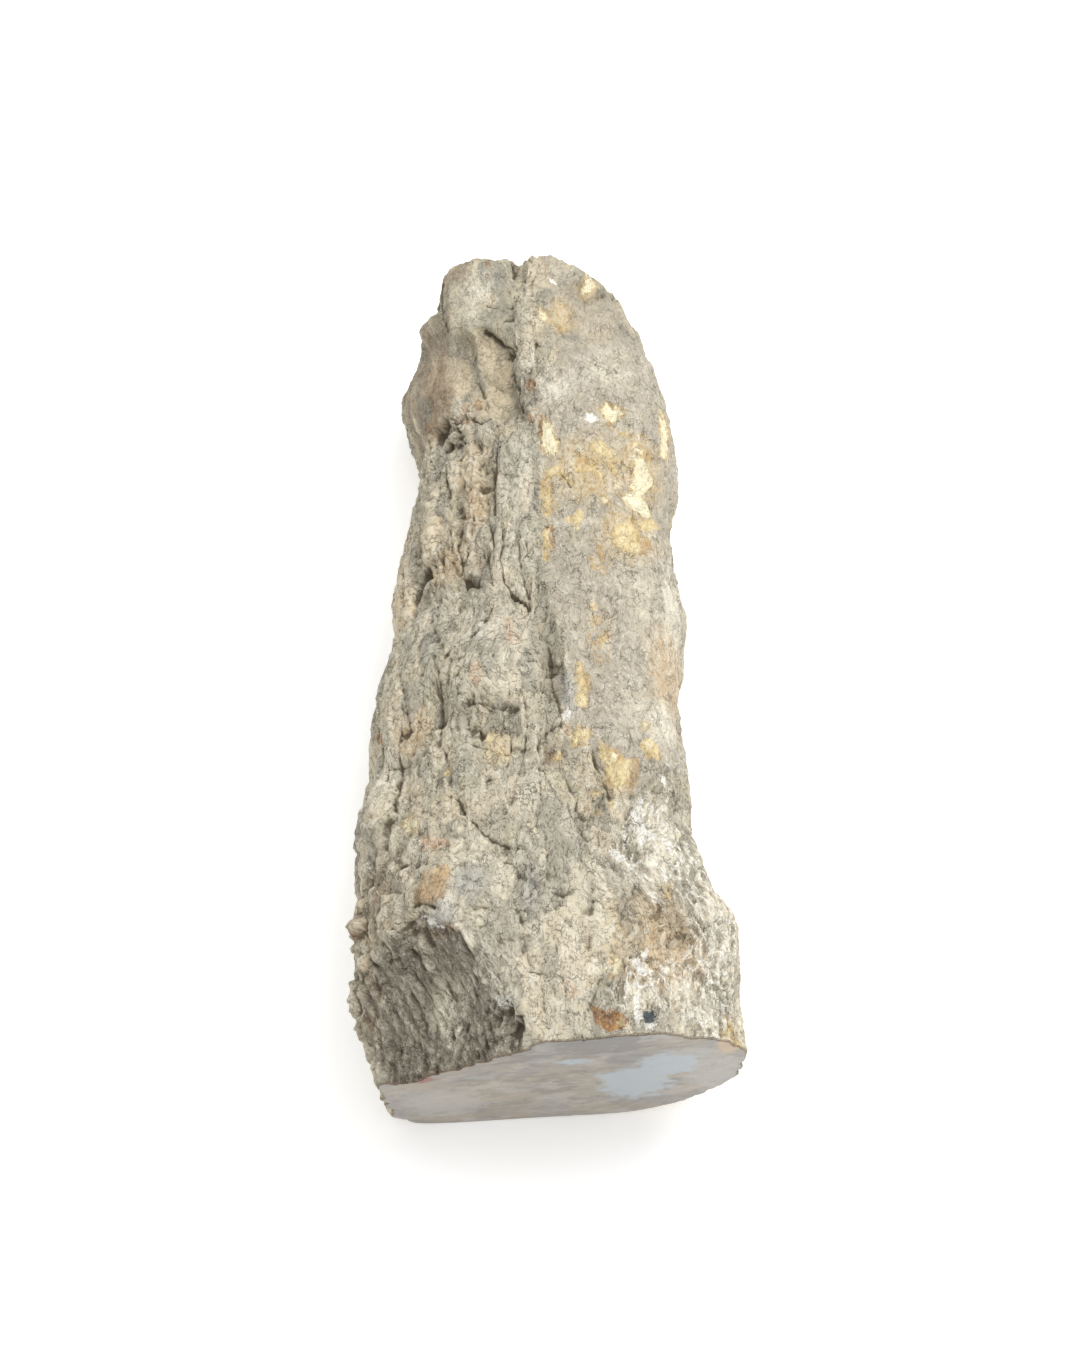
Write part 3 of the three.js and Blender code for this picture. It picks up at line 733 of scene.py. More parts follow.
STRAW_PATCHES = [
    [(1, 58.5), (3, 57.5), (3.5, 54.5), (5, 51), (5, 48), (3.5, 46), (2, 48), (0.5, 50), (0.5, 53.5)],
    [(26.5, 49), (28.5, 46.5), (29.5, 46.5), (30, 43), (31.5, 41), (31.5, 38.5), (28.5, 35.5),
     (27.5, 33.5), (25, 36.5), (26, 40), (26.5, 46)],
    [(22.5, 33), (24.5, 34.5), (27.5, 34), (30.5, 31), (30, 27.5), (27.5, 27.5), (24, 29.5)],
    [(26, 53), (29.2, 48.7), (28.3, 47.8), (26.7, 49.5)],
    [(35.3, 72), (37, 66.5), (36.6, 52.5), (35.5, 49.5), (34.2, 51), (34.6, 57), (34.6, 64.5)],
    [(20.5, 63.5), (22, 65.5), (23.5, 62), (22, 61), (20.5, 59), (18.5, 60), (17.5, 64), (19, 66)],
    [(16.7, 33.3), (18, 32.3), (19.8, 29.8), (18, 30.2), (16.7, 31.5)],
    [(20.7, 38.3), (22.3, 37.7), (22.3, 35.3), (21.3, 34.7)],
    [(13.7, 118.3), (15.7, 115.7), (16.7, 113), (15, 110.3), (12.8, 108.3), (12.3, 110.5), (13.3, 113.5)],
    [(-0.7, 101.7), (1.7, 100.2), (2.2, 97), (1, 95.2), (-0.3, 97.5)],
    [(-34, -65.5), (-32.5, -64.5), (-30, -68), (-29.5, -71), (-32, -70), (-34, -68)],
    [(17.3, -48.3), (19.3, -48.8), (19.7, -50.2), (18.5, -52.2), (17.3, -51)],
    [(26.3, -39.3), (27.7, -39.8), (27.7, -41.2), (26.3, -41.2)],
    [(7.8, -44.8), (9.7, -44.8), (10.2, -46.7), (8.3, -46.7)],
    [(17, -107), (19.5, -106.5), (19.2, -110.7), (16.5, -111.2)],
]
GOLD_PATCHES = [
    [(25.3, -45), (27, -43.8), (28.7, -43.8), (30.7, -48), (30.7, -50.7), (27.5, -49.7), (25.3, -47)],
    [(6.5, 25), (9.5, 26), (10.5, 28), (12, 27), (12.5, 24), (11, 23), (11, 20), (9.5, 20.5), (8.5, 22.5),
     (7, 23.5)],
    [(2.3, 42.2), (5, 43.3), (7.3, 41.2), (9.3, 36), (7.9, 35.2), (5.5, 39.7), (3.5, 39.7), (1.8, 40.3)],
    [(9.3, 41.6), (12, 43.4), (16.3, 43.4), (17, 41), (16.8, 37.6), (15.4, 41.2), (13, 41.2), (10, 39.6)],
    [(14, 50.5), (16, 52.2), (18, 52.2), (20.2, 48), (21.8, 42.5), (21, 40.6), (19.8, 42.5), (18, 48),
     (17, 46.3), (15.3, 48)],
    [(21.8, 55.2), (23.5, 56.3), (25.8, 55.7), (25, 53.7), (23.7, 54.4), (22.8, 53.2)],
    [(20, 19), (20.5, 21.5), (23, 24), (25.5, 25), (27, 21), (27, 17.5), (26.5, 13), (24.5, 14),
     (20, 16)],
    [(26.5, 26), (29, 26.5), (32.5, 28.8), (33.2, 27), (31.5, 23.8), (29.5, 22.3), (27.3, 23.3)],
    [(0.8, 35.7), (3, 35.2), (3.7, 31), (2.8, 24.3), (1.2, 24.8), (0.8, 29.5)],
    [(0.6, 22), (2.6, 22), (2.6, 10), (0.6, 10)],
    [(9.5, -20), (11.5, -22.5), (11.5, -26.5), (12.5, -31), (12.7, -35.5), (12, -36.7), (8.8, -35.2),
     (9.5, -33)],
    [(7.3, -42.3), (9.5, -41.8), (11.5, -42.3), (13.7, -44), (12, -47.2), (8.3, -46.7), (7.3, -45)],
    [(14.8, -45.2), (17.5, -46.6), (20.4, -49.2), (21, -50.6), (23.2, -50.4), (22.3, -54.5), (21.8, -57),
     (19.5, -61), (17.4, -55), (15.9, -52), (14.8, -49)],
    [(12.3, -60), (15.2, -59.3), (14.7, -60.8), (12.8, -61.3)],
    [(17.3, -61.3), (18.7, -61.8), (18.8, -64.7), (17.6, -64)],
    [(14.3, -63.2), (15.7, -64.3), (15.7, -66.3), (14.3, -65.2)],
    [(29.8, -84.7), (31.7, -84.7), (32.2, -88.8), (30.3, -88.8)],
    [(13.3, -3.3), (15.7, -3.8), (14.7, -8.8)],
    [(14.8, -11.8), (17.2, -14.8), (15.7, -18.3)],
    [(-24, -53.5), (-21, -53), (-22, -55.5), (-24, -56)],
    [(-13.5, -43), (-11, -43), (-11, -46), (-13.5, -46)],
    [(-11, -47.5), (-9, -49), (-11, -52)],
    [(3, -49), (5, -47.5), (6, -50.5), (3.5, -51.5)],
    [(17.8, -121.8), (19.8, -120.8), (19.8, -122.7), (18.3, -123.2)],
    [(43.8, -117.8), (45.2, -118.3), (45.7, -121.8), (47, -122.8), (48.7, -122.3), (48.7, -124.2),
     (45, -124.7), (43.3, -122)],
]
TAN_PATCHES = [
    [(22.3, -50.3), (24.5, -49.3), (25.8, -50.5), (25.3, -53), (24.3, -58), (23.5, -59.8), (20.5, -60.8),
     (19.8, -58), (21.3, -54)],
    [(15.3, 15.3), (17.2, 15.3), (18.3, 11.3), (15.8, 10.3)],
    [(27.3, 20.7), (30.2, 20.2), (28.7, 14.3), (26.3, 12.8)],
    [(35, -33.5), (35.8, -33.3), (36.3, -37.7), (35, -39.3)],
    [(-28, -83.5), (-24.5, -82), (-22, -80.5), (-21.5, -85.5), (-23, -91), (-26, -91.5), (-30.5, -91),
     (-31, -88.5)],
    [(-26, -94.5), (-21, -96), (-19, -99), (-21, -98.5)],
]
RUST_PATCHES = [
    [(-0.8, 61.3), (2.2, 59.7), (0.7, 57), (0.7, 51.7), (-0.8, 51.7), (-0.8, 57.5)],
    [(-3.7, 75.3), (-1.3, 74.3), (-1, 70.3), (-3, 69.3), (-4.2, 72.5)],
    [(-4.2, 63.3), (-2, 61.3), (-1, 57.8), (-3.7, 58.8)],
    [(-23, 68.3), (-21.5, 69.8), (-19.8, 66), (-19.8, 61.8), (-22, 60.8), (-24.5, 64.5)],
    [(-18.9, 71.5), (-17.2, 70.5), (-16.6, 66.8), (-18.9, 66.6)],
    [(2.5, 21.7), (3.6, 21.7), (4, 13.3), (2.8, 13.3)],
    [(-16, 124), (-14.8, 124), (-14.8, 119.5), (-15.6, 114.5), (-16.6, 114.5), (-15.8, 119.5)],
    [(5.8, -41.8), (7, -39.8), (8.7, -42), (8.2, -43.7), (6.3, -43.7)],
    [(3.8, -48.8), (5, -47.8), (5.9, -49), (5.9, -50.4), (4.1, -50.4)],
    [(10.6, -62.5), (12, -63.8), (12.9, -65.8), (12, -66.5), (10.6, -64)],
    [(-34, 70), (-30.5, 68), (-30.5, 64), (-33, 66)],
    [(-38, 34), (-35, 33), (-36, 28), (-38, 29)],
    [(-45, -32), (-41.5, -37), (-42, -39.5)],
    [(-48, -87), (-44.5, -89), (-43.5, -93), (-47, -93)],
]
IRON_PATCHES = [
    [(11, -117), (14, -118.7), (16.5, -118.7), (19.7, -120.4), (21.5, -122), (18.5, -124), (15.5, -124),
     (12.5, -122)],
]
PINK_PATCHES = [
    [(-9.5, -8), (-7.5, -9), (-5.5, -15), (-5.5, -20), (-8.5, -17)],
    [(-18.5, -23.5), (-15, -23.5), (-14.5, -28), (-17, -31)],
    [(5, -111.5), (8, -112.5), (9.5, -115.5), (7.5, -117), (5.5, -115)],
    [(-29.5, -72.5), (-25.5, -73), (-21.5, -74.5), (-23, -76), (-26.5, -76.5), (-29, -78.5)],
]
WHITE_PATCHES = [
    [(12.5, 60.7), (15, 61.8), (16.7, 59.5), (15.5, 58.2), (13, 58.2)],
    [(5.8, -36.8), (7, -35.3), (8.2, -35.8), (8.2, -38.2), (6.6, -39.8)],
    [(24.8, -60.3), (26.2, -60.8), (25.7, -65), (25.2, -68), (25.8, -70.5), (25.2, -75.3), (24.4, -76.4),
     (23.8, -73), (24.3, -69.5), (23.4, -66), (22.8, -64.3), (24, -63.8)],
    [(26.2, -70.6), (28.2, -70.6), (28.7, -72.8), (26.7, -73.2)],
    [(29.8, -71.8), (32.2, -73.3), (33.3, -77.2), (32, -76.2), (30.8, -74.5)],
    [(31.8, -78.8), (33.7, -78.8), (34.4, -81.4), (33, -80.7)],
    [(29, -81), (32, -83.2), (30, -83.4)],
    [(16.8, -75.2), (18.6, -75.6), (20.2, -77.2), (21.9, -79.4), (20, -79.4), (17.1, -77.4)],
    [(20.8, -79.8), (22.8, -81.4), (21.5, -82.2)],
    [(26.8, -87.6), (28.9, -87.6), (29.4, -89.9), (27.6, -89.4)],
    [(21.6, -106.6), (23.5, -105.6), (24.7, -108), (26.4, -109.7), (25, -110.4), (23.1, -109.5),
     (22.1, -108)],
    [(24.1, -105.4), (24.6, -103.6), (26.4, -103.6), (26.4, -105.4)],
    [(21.8, -111.6), (23.5, -112.1), (26.2, -112.1), (23.5, -113.8), (21.8, -113.4)],
    [(22, -114.3), (23.6, -114.3), (23.3, -119), (23.9, -121.5), (22.5, -122.8), (21.6, -121),
     (21.9, -118)],
    [(24.1, -122.3), (26.6, -121.8), (26.8, -123.8), (24.1, -123.8)],
    [(29.7, -52.6), (30.8, -53.1), (32.4, -55.7), (31, -55.7)],
    [(2.1, 115.4), (4, 114.4), (5.4, 112.1), (3.4, 112.6)],
    [(-11, -115), (-8, -116), (-7, -117.5), (-10, -117)],
    [(-29, -93.5), (-26, -94.5), (-23.5, -97), (-27, -96.5)],
]
CRUST_PATCHES = [
    [(-9, 26), (-6.5, 26), (-6.5, 12), (-10, 6)],
    [(-16.5, -106), (-13.5, -107.5), (-11, -111), (-8.5, -115), (-6, -119), (-7, -120.5), (-10, -117),
     (-13, -113), (-15, -110)],
    [(36.7, -109.8), (38.3, -112), (39.3, -115), (41.2, -116.8), (44.7, -118.3), (42.3, -119.2),
     (39.3, -117.2), (36.7, -114)],
    [(29.5, -30), (32, -29), (33.2, -32), (32.2, -35.5), (33.7, -37.5), (34.7, -38.5), (32, -41.7),
     (30.8, -38.5), (29.8, -34.5)],
    [(-7.3, 116.3), (-4.8, 114.8), (-4.8, 109), (-6, 106.7), (-7.8, 111)],
    [(-8, 88), (-5.5, 89), (-2.5, 88), (-1, 80), (-3, 78), (-4, 76), (-5.5, 67), (-7.5, 72), (-8.5, 82)],
]
BARE_PATCHES = [
    [(-19, 93), (-14.5, 92.5), (-10, 88), (-10, 79), (-8, 66), (-6.5, 54), (-12, 54), (-14, 63),
     (-15.5, 75.5), (-17.5, 83)],
    [(-25, 76.5), (-21, 78), (-21, 73.5), (-24.5, 72.5)],
    [(-19, 72), (-16, 73), (-15, 70), (-15, 62.5), (-17.5, 63), (-19.5, 68.5)],
    [(-20.5, 93.5), (-19, 95.5), (-16.5, 95.5), (-17, 93.5)],
    [(-22, 56), (-18, 53), (-17, 46), (-17.5, 37), (-21.5, 38)],
    [(-31, 30), (-27.5, 27), (-26.5, 15), (-30, 16)],
    [(-38.5, 18), (-34.5, 19), (-34, 4), (-34.5, -2), (-39, -2)],
    [(-38, -86.5), (-35, -86.5), (-33.5, -89), (-34, -97), (-38, -96)],
    [(-43, -50), (-39, -54), (-38, -60), (-39, -65), (-44, -66), (-46, -59)],
    [(-16, 39), (-13.5, 38), (-13.5, 24), (-16, 25)],
    [(-24, 24), (-18, 22), (-18, 14), (-23, 15)],
]
SLATE_PATCHES = [
    [(24, -119.5), (25.5, -119.2), (27, -120.2), (26.6, -122), (24.6, -122.6), (23.8, -121)],
]
# painted shade: faces turned from the light, the band under a ledge, crevices and deep holes, darkened in
# colour
PAINTED_SHADE_PATCHES = [
    [(-30, 13), (-27.5, 12), (-29.5, 4), (-32, -1), (-34, 1), (-32, 8)],
    [(-23, 13.5), (-17, 13), (-16.5, 1), (-22, 2.5)],
    [(-16, 49), (-12.5, 47), (-12.5, 26), (-15, 26)],
    [(-31, 65), (-24, 64), (-23, 59), (-29, 60)],
    [(-25, 96.7), (-22.3, 95.7), (-19.8, 92.5), (-19.3, 85.5), (-20.3, 81.3), (-22.5, 78.7), (-24.2, 83),
     (-24.7, 91)],
    [(-34, 132), (-29.3, 117.5), (-26.8, 108.5), (-26.3, 98.5), (-27.5, 94.5), (-30, 97), (-33, 104)],
    [(-8.6, 127), (-6.8, 127), (-6.6, 118), (-8.2, 117)],
    [(-9.8, 85), (-8, 86.5), (-7, 82), (-6.2, 76), (-5.2, 69), (-3, 61), (-4.8, 59.5), (-7.2, 65),
     (-8.4, 73), (-9.8, 79)],
    [(18.3, 113.5), (15.5, 109.2), (12, 107), (15, 105.5), (19.5, 109)],
    [(29.8, -96.2), (34, -97.2), (38.2, -99.2), (38.3, -102.7), (36, -103.8), (31, -101.8), (29.8, -99)],
]
VEIN_TINTS = [
    (24, 21, 9, 9), (15, 43, 12, 11), (28, 44, 7, 16), (3, 34, 4, 14), (20, 62, 6, 7), (19, -55, 7, 8),
    (9, -44, 5, 4), (16, -14, 4, 12), (11, -30, 3, 8), (46, -121, 4, 5), (31, -87, 4, 5), (36, 60, 3, 14),
    (16, 12, 4, 8), (6, 99, 6, 8),
]
HALO_TINTS = [
    (6, 99, 7, 10), (24, 20, 12, 13), (14, 42, 16, 18), (28, 44, 9, 17), (20, -56, 6, 7, 10),
    (44, -121, 4, 6), (-20, 46, 4, 12), (14, 112, 7, 7), (-31, 24, 4, 8), (22, -102, 12, 20),
    (-10, -48, 6, 9),
]
WARM_TINTS = [
    (-20, 46, 5, 13), (-29, 22, 4, 11), (-36, 4, 4, 12), (-33, -40, 7, 12), (-18, 34, 5, 12),
    (-25, 12, 6, 9), (30, -104, 16, 20), (34, -20, 8, 20),
]
BLUE_TINTS = [(7.5, -31, 3, 10, 10), (-17, -86, 6, 8), (-23, -94, 5, 5), (-2, -88, 3, 9)]
CHALK_TINTS = [
    (30, -72, 9, 16, 20), (-10, -115, 5, 4), (29, -76, 14, 20, 20), (42, -96, 9, 30), (24, -114, 10, 12),
    (34, -112, 10, 12), (33, -40, 8, 12), (36, 0, 8, 34), (-4, 40, 5, 22), (40, -116, 8, 14),
    (4, 70, 10, 12), (-42, -54, 6, 14), (-14, -13, 14, 10), (-18, 110, 8, 14),
]
CREAM_TINTS = [
    (40, -108, 12, 20), (-17, 112, 9, 14), (-22, -114, 7, 8), (-12, -8, 12, 8), (-14, -14, 16, 12),
    (-10, -24, 18, 14), (30, 0, 12, 30), (28, -36, 12, 16), (-6, 40, 5, 22), (-41, -55, 6, 18),
    (-2, -62, 8, 12), (14, -96, 12, 24), (38, -92, 12, 34), (-12, 70, 5, 10), (-20, 100, 5, 7),
    (8, 118, 10, 8), (-34, -36, 5, 10), (-39, -50, 6, 20), (20, 80, 10, 14), (-30, 26, 3, 9),
    (-28, -4, 9, 7), (-5, 100, 3, 20),
]
UMBER_TINTS = [
    (-23, 118, 4, 9), (-27.5, 120, 7, 11), (-20, 30, 7, 14), (-20, 14, 9, 14), (-32, 8, 6, 8),
    (-33, 85, 8, 18), (-24, 122, 6, 8), (-6, 76, 5, 14), (-16, -36, 12, 6), (2, -50, 8, 6),
    (-38, -84, 9, 16), (32, -100, 6, 6), (17, -76, 4, 12, 25), (3, -26, 4, 12, 10), (-42, -112, 8, 14),
    (-46, -96, 5, 16), (24, -90, 10, 10), (-25, -96, 10, 5),
]

marks = {
    "painted_hollow_shade": painted_hollow_shade.ravel(),
    "crest": crest.ravel(),
    "plate": zone["plate"] + 0.6 * zone["far_right"],
    "torn": 0.3 * zone["torn"] + 0.8 * zone["slab"] + 0.7 * zone["middle"] + 0.9 * zone["boss"],
    "pale": 0.7 * zone["near"] + zone["shoulder"],
    "brown": 0.9 * zone["left_shoulder"] + 0.4 * zone["facets"] + 0.3 * zone["near_left"],
    "scoop": zone["scoop"],
    "calm": (0.8 * (zone["boss"] + zone["far_right"] + zone["facets"] + zone["left_shoulder"])
             + 0.1 * zone["plate"]),
    "crack_side": crack_side,
    "crack_painted_shade": crack_painted_shade,
    "tread": 0.5 + (0.6 * (block_shade - 0.5) + 0.25 * slabs) * (1 - 0.7 * zone["plate"]),
    "block": 0.5 + (block_shade - 0.5) * (1 - zone["plate"]) * (1 - 0.7 * zone["scoop"]),
}
patch_lists = {
    "straw": STRAW_PATCHES, "gold": GOLD_PATCHES, "tan": TAN_PATCHES, "rust": RUST_PATCHES,
    "iron": IRON_PATCHES, "pink": PINK_PATCHES, "white": WHITE_PATCHES, "crust": CRUST_PATCHES,
    "bare": BARE_PATCHES, "slate": SLATE_PATCHES, "shade": PAINTED_SHADE_PATCHES,
}
tint_lists = {
    "vein": VEIN_TINTS, "halo": HALO_TINTS, "warm": WARM_TINTS, "blue": BLUE_TINTS, "chalk": CHALK_TINTS,
    "cream": CREAM_TINTS, "umber": UMBER_TINTS,
}
marks.update({name: patches_of(outlines) for name, outlines in patch_lists.items()})
marks.update({name: tints_of(ovals) for name, ovals in tint_lists.items()})
for name, values in marks.items():
    layer = mesh.attributes.new(name, "FLOAT", "POINT")
    layer.data.foreach_set("value", spread_over(values).astype(np.float32))
fibre_layer = mesh.attributes.new("fibre", "FLOAT_VECTOR", "POINT")
fibre_flow = np.stack([spread_over(flow[:, axis]) for axis in range(3)], axis=1)
fibre_layer.data.foreach_set("vector", fibre_flow.astype(np.float32).ravel())

stone = bpy.data.objects.new("petrified_wood_skin", mesh)
bpy.context.collection.objects.link(stone)
thinning = stone.modifiers.new("thinning", "DECIMATE")
thinning.ratio = TRIANGLES / (2 * len(quads) + len(tips))
thinned = bpy.data.meshes.new_from_object(stone.evaluated_get(bpy.context.evaluated_depsgraph_get()))
stone.modifiers.clear()
stone.data = thinned

# the open ring at the saw cut is closed by one flat face with a sharp edge
shell = bmesh.new()
shell.from_mesh(thinned)
for face in shell.faces:
    face.smooth = True
rim_edges = [edge for edge in shell.edges if edge.is_boundary]
for edge in rim_edges:
    edge.smooth = False
for face in bmesh.ops.contextual_create(shell, geom=rim_edges)["faces"]:
    face.smooth = False
bmesh.ops.recalc_face_normals(shell, faces=shell.faces)
shell.to_mesh(thinned)
shell.free()

# ---------------------------------------------------------------- the finish
# Weathered grey stone with cream grains, dark joints and yellow chert, and a sawn end that is
# ground smooth. The colours are mixed by the marks above and broken up by fine noise.


class Signal:
    """One socket of a material's nodes. Sums and products on it add Math nodes."""

    def __init__(self, tree, socket):
        self.tree, self.socket = tree, socket

    def make(self, kind, settings=None, values=None, output=0):
        node = self.tree.nodes.new(kind)
        for name, value in (settings or {}).items():
            setattr(node, name, value)
        for name, value in (values or {}).items():
            if isinstance(value, Signal):
                self.tree.links.new(value.socket, node.inputs[name])
            else:
                node.inputs[name].default_value = value
        return Signal(self.tree, node.outputs[output])

    def math(self, operation, first, second=0.0):
        return self.make("ShaderNodeMath", {"operation": operation}, {0: first, 1: second})

    def vector(self, operation, first, second=(0.0, 0.0, 0.0), output=0):
        return self.make("ShaderNodeVectorMath", {"operation": operation}, {0: first, 1: second}, output)

    def __add__(self, other):
        return self.math("ADD", self, other)

    def __sub__(self, other):
        return self.math("SUBTRACT", self, other)

    def __rsub__(self, other):
        return self.math("SUBTRACT", other, self)

    def __mul__(self, other):
        return self.math("MULTIPLY", self, other)

    __radd__ = __add__
    __rmul__ = __mul__

    def __abs__(self):
        return self.math("ABSOLUTE", self)

    def rise(self, start, stop):
        """0 below start, 1 above stop, and smooth between."""
        settings = {"interpolation_type": "SMOOTHSTEP"}
        return self.make("ShaderNodeMapRange", settings, {"Value": self, "From Min": start, "From Max": stop})

    def mix(self, first, second, share):
        """One colour changed to another by a share."""
        return self.make("ShaderNodeMix", {"data_type": "RGBA"}, {0: share, 6: first, 7: second}, output=2)

    def layered(self, layers):
        """This colour under a list of tones, each laid over the last by its own share."""
        colour = self
        for tone, share in layers:
            colour = self.mix(colour, tone, share)
        return colour


def srgb(red, green, blue):
    """A display colour from 0 to 255 as the linear colour that a shader takes."""
    shares = [value / 255 for value in (red, green, blue)]
    linear = [s / 12.92 if s <= 0.04045 else ((s + 0.055) / 1.055) ** 2.4 for s in shares]
    return (*linear, 1.0)


finish = bpy.data.materials.new("petrified_wood_stone")
finish.use_nodes = True
shader = finish.node_tree.nodes["Principled BSDF"]
tree = Signal(finish.node_tree, None)
spot = tree.vector("MULTIPLY", tree.make("ShaderNodeTexCoord", output=3), (1 / MM, 1 / MM, 1 / MM))
along_fibres = tree.make("ShaderNodeAttribute", {"attribute_name": "fibre"}, output=1)


def fitted(point, across, along, upright):
    """A place measured in steps of this many millimetres each way."""
    steps = (1 / across, 1 / along, 1 / upright)
    return tree.make("ShaderNodeMapping", None, {"Vector": point, "Scale": steps})


def noise_at(point, detail, roughness, output=0, size=1.0):
    """Noise from 0 to 1, or its colour from output 1, with grains of this size."""
    values = {"Vector": point, "Scale": 1 / size, "Detail": detail, "Roughness": roughness}
    return tree.make("ShaderNodeTexNoise", None, values, output)


def grain(size, stretch, detail, roughness=0.55):
    """Noise from 0 to 1 whose grains are `size` millimetres, `stretch` times longer along the fibres."""
    return noise_at(fitted(along_fibres, size, size * stretch, size), detail, roughness)


def crinkle(size, stretch):
    """A net of thin crests, near 1.4, round dark cells, near 0.2."""
    settings = {"noise_type": "RIDGED_MULTIFRACTAL", "normalize": False}
    values = {"Scale": 1.0, "Detail": 5.0, "Roughness": 0.7, "Offset": 0.8, "Gain": 2.0}
    values["Vector"] = fitted(along_fibres, size, size * stretch, size)
    return tree.make("ShaderNodeTexNoise", settings, values)


def shards(size, stretch, feature="F1", output=1):
    """Straight-edged broken bits: a number for each, or the distance to the nearest joint."""
    bend = noise_at(along_fibres, 3.0, 0.5, output=1, size=2)
    point = fitted(tree.vector("ADD", along_fibres, bend), size, size * stretch, size)
    return tree.make("ShaderNodeTexVoronoi", {"feature": feature}, {"Vector": point, "Scale": 1.0}, output)


def mark(name):
    """One of the marks on the mesh."""
    return tree.make("ShaderNodeAttribute", {"attribute_name": name}, output=2)


def bitten(name, size, bite, stretch=1.3):
    """A mark whose slopes are bitten by noise."""
    return mark(name) + bite * (grain(size, stretch, 5, 0.65) - 0.5)


def ragged_mark(name, size=1.6, bite=0.8):
    """A patch with a torn edge."""
    return bitten(name, size, bite).rise(0.44, 0.56)


def tint_mark(name, size=2.4, bite=1.2):
    """A wide soft tint broken up by noise."""
    return bitten(name, size, bite, 1.4).rise(0.05, 0.7)


def thread(size, stretch, width, at=0.5):
    """1 along thin wavering lines of a noise, and 0 between them."""
    return abs(grain(size, stretch, 3.5, 0.62) - at).rise(width, width * 0.2)


GREY = srgb(174, 166, 147)
STRAW = srgb(205, 193, 164)
GREY_GREEN = srgb(186, 181, 161)
MAUVE = srgb(179, 170, 156)
PALE = srgb(222, 213, 190)
CREAM_GRAIN = srgb(242, 235, 214)
# the dark of the grain's threads and joints, also used for painted shade in cracks and hollows
DARK_GRAIN_AND_SHADE = srgb(84, 74, 56)
WARM_TAN = srgb(210, 182, 143)
BARE_TAN = srgb(209, 193, 162)
PANEL_STRAW = srgb(224, 214, 190)
COOL_GREY = srgb(158, 156, 146)
BROWN = srgb(146, 123, 96)
UMBER_BROWN = srgb(138, 117, 92)
SCOOP_GREY = srgb(119, 111, 98)
PAINTED_SHADE_GREY = srgb(134, 124, 102)
GOLD_DARK = srgb(198, 166, 112)
GOLD_LIGHT = srgb(243, 224, 172)
STRAW_PALE = srgb(255, 246, 212)
TAN_BROWN = srgb(206, 174, 130)
TAN_DARK = srgb(168, 136, 98)
AMBER_BROWN = srgb(221, 195, 144)
AMBER = srgb(208, 164, 106)
RUST_BROWN = srgb(148, 112, 84)
PINK_STONE = srgb(212, 176, 145)
IRON_BROWN = srgb(124, 78, 42)
IRON_ORANGE = srgb(204, 146, 82)
FLAKE_WHITE = srgb(250, 246, 234)
FLAKE_DARK = srgb(142, 130, 112)
CHALK = srgb(252, 249, 240)
BLUE_GREY = srgb(190, 192, 188)
SLATE_BLACK = srgb(98, 104, 106)

mottle = grain(1.2, 1.7, 6, 0.68)
coarse_mottle = grain(4.2, 1.6, 5, 0.62)
patches = grain(10, 2.0, 3)
fibre = grain(0.7, 7.0, 4, 0.65)
light_lines = crinkle(1.5, 1.4).rise(0.75, 1.5)
dark_lines = crinkle(1.8, 1.3).rise(0.8, 1.6)
bits = shards(1.8, 1.8)
joints = shards(2.8, 1.9, "DISTANCE_TO_EDGE", 0).rise(0.07, 0.0) * grain(4, 1.4, 3).rise(0.52, 0.64)
line_field = grain(6, 1.3, 3).rise(0.36, 0.6)
dark_threads = thread(3.1, 1.7, 0.02, 0.47) * grain(5, 1, 2).rise(0.45, 0.62)
calm = 1 - 0.7 * mark("calm").rise(0.0, 1.0)
sober = 1 - 0.45 * (mark("straw") + mark("gold") + mark("tan") + mark("iron")).rise(0.3, 0.8)
plate_share = mark("plate").rise(0.1, 0.9)
pale_share = mark("pale").rise(0, 1)
scoop_share = mark("scoop").rise(0.2, 0.9)
light_clouds = coarse_mottle.rise(0.4, 0.6)
dark_clouds = coarse_mottle.rise(0.6, 0.4)
wide_clouds = coarse_mottle.rise(0.35, 0.6)

# the ground: grey to straw, and the tone of each stretch
ground = tree.mix(GREY, STRAW, (patches * 0.5 + coarse_mottle * 0.5).rise(0.36, 0.62))
ground = ground.layered([
    (GREY_GREEN, mark("torn").rise(0.1, 0.9) * coarse_mottle.rise(0.66, 0.4) * 0.8),
    (MAUVE, plate_share * coarse_mottle.rise(0.25, 0.6) * 0.85),
    (PANEL_STRAW, mark("pale").rise(0.0, 0.9) * 0.75),
    (SCOOP_GREY, (mark("scoop") + 0.5 * (grain(3, 1.3, 4) - 0.5)).rise(0.35, 0.65) * 0.9),
    (PALE, mark("cream").rise(0.0, 0.8) * (0.35 + 0.6 * light_clouds) * 0.85),
    (UMBER_BROWN, mark("umber").rise(0.0, 0.7) * (0.3 + 0.6 * dark_clouds) * 0.8),
    (BROWN, mark("brown").rise(0.1, 1.0) * patches.rise(0.25, 0.6) * 0.85),
    (BLUE_GREY, tint_mark("blue") * 0.7),
    (AMBER_BROWN, tint_mark("halo", 3.0, 1.0) * 0.6),
    # painted shade: the shade patches darken faces turned from the light and crevices
    (PAINTED_SHADE_GREY, ragged_mark("shade", 3, 1.6) * 0.55),
    (CREAM_GRAIN, ragged_mark("crust", 3) * (0.3 + 0.5 * mottle.rise(0.4, 0.6))),
    (WARM_TAN, tint_mark("warm") * 0.8 + mark("block").rise(0.62, 0.95) * 0.4),
    (COOL_GREY, mark("block").rise(0.38, 0.05) * 0.5),
    (BARE_TAN, ragged_mark("bare", 1.6, 1.0) * 0.65),
    (PINK_STONE, ragged_mark("pink", 2.0, 1.2) * 0.7),
])

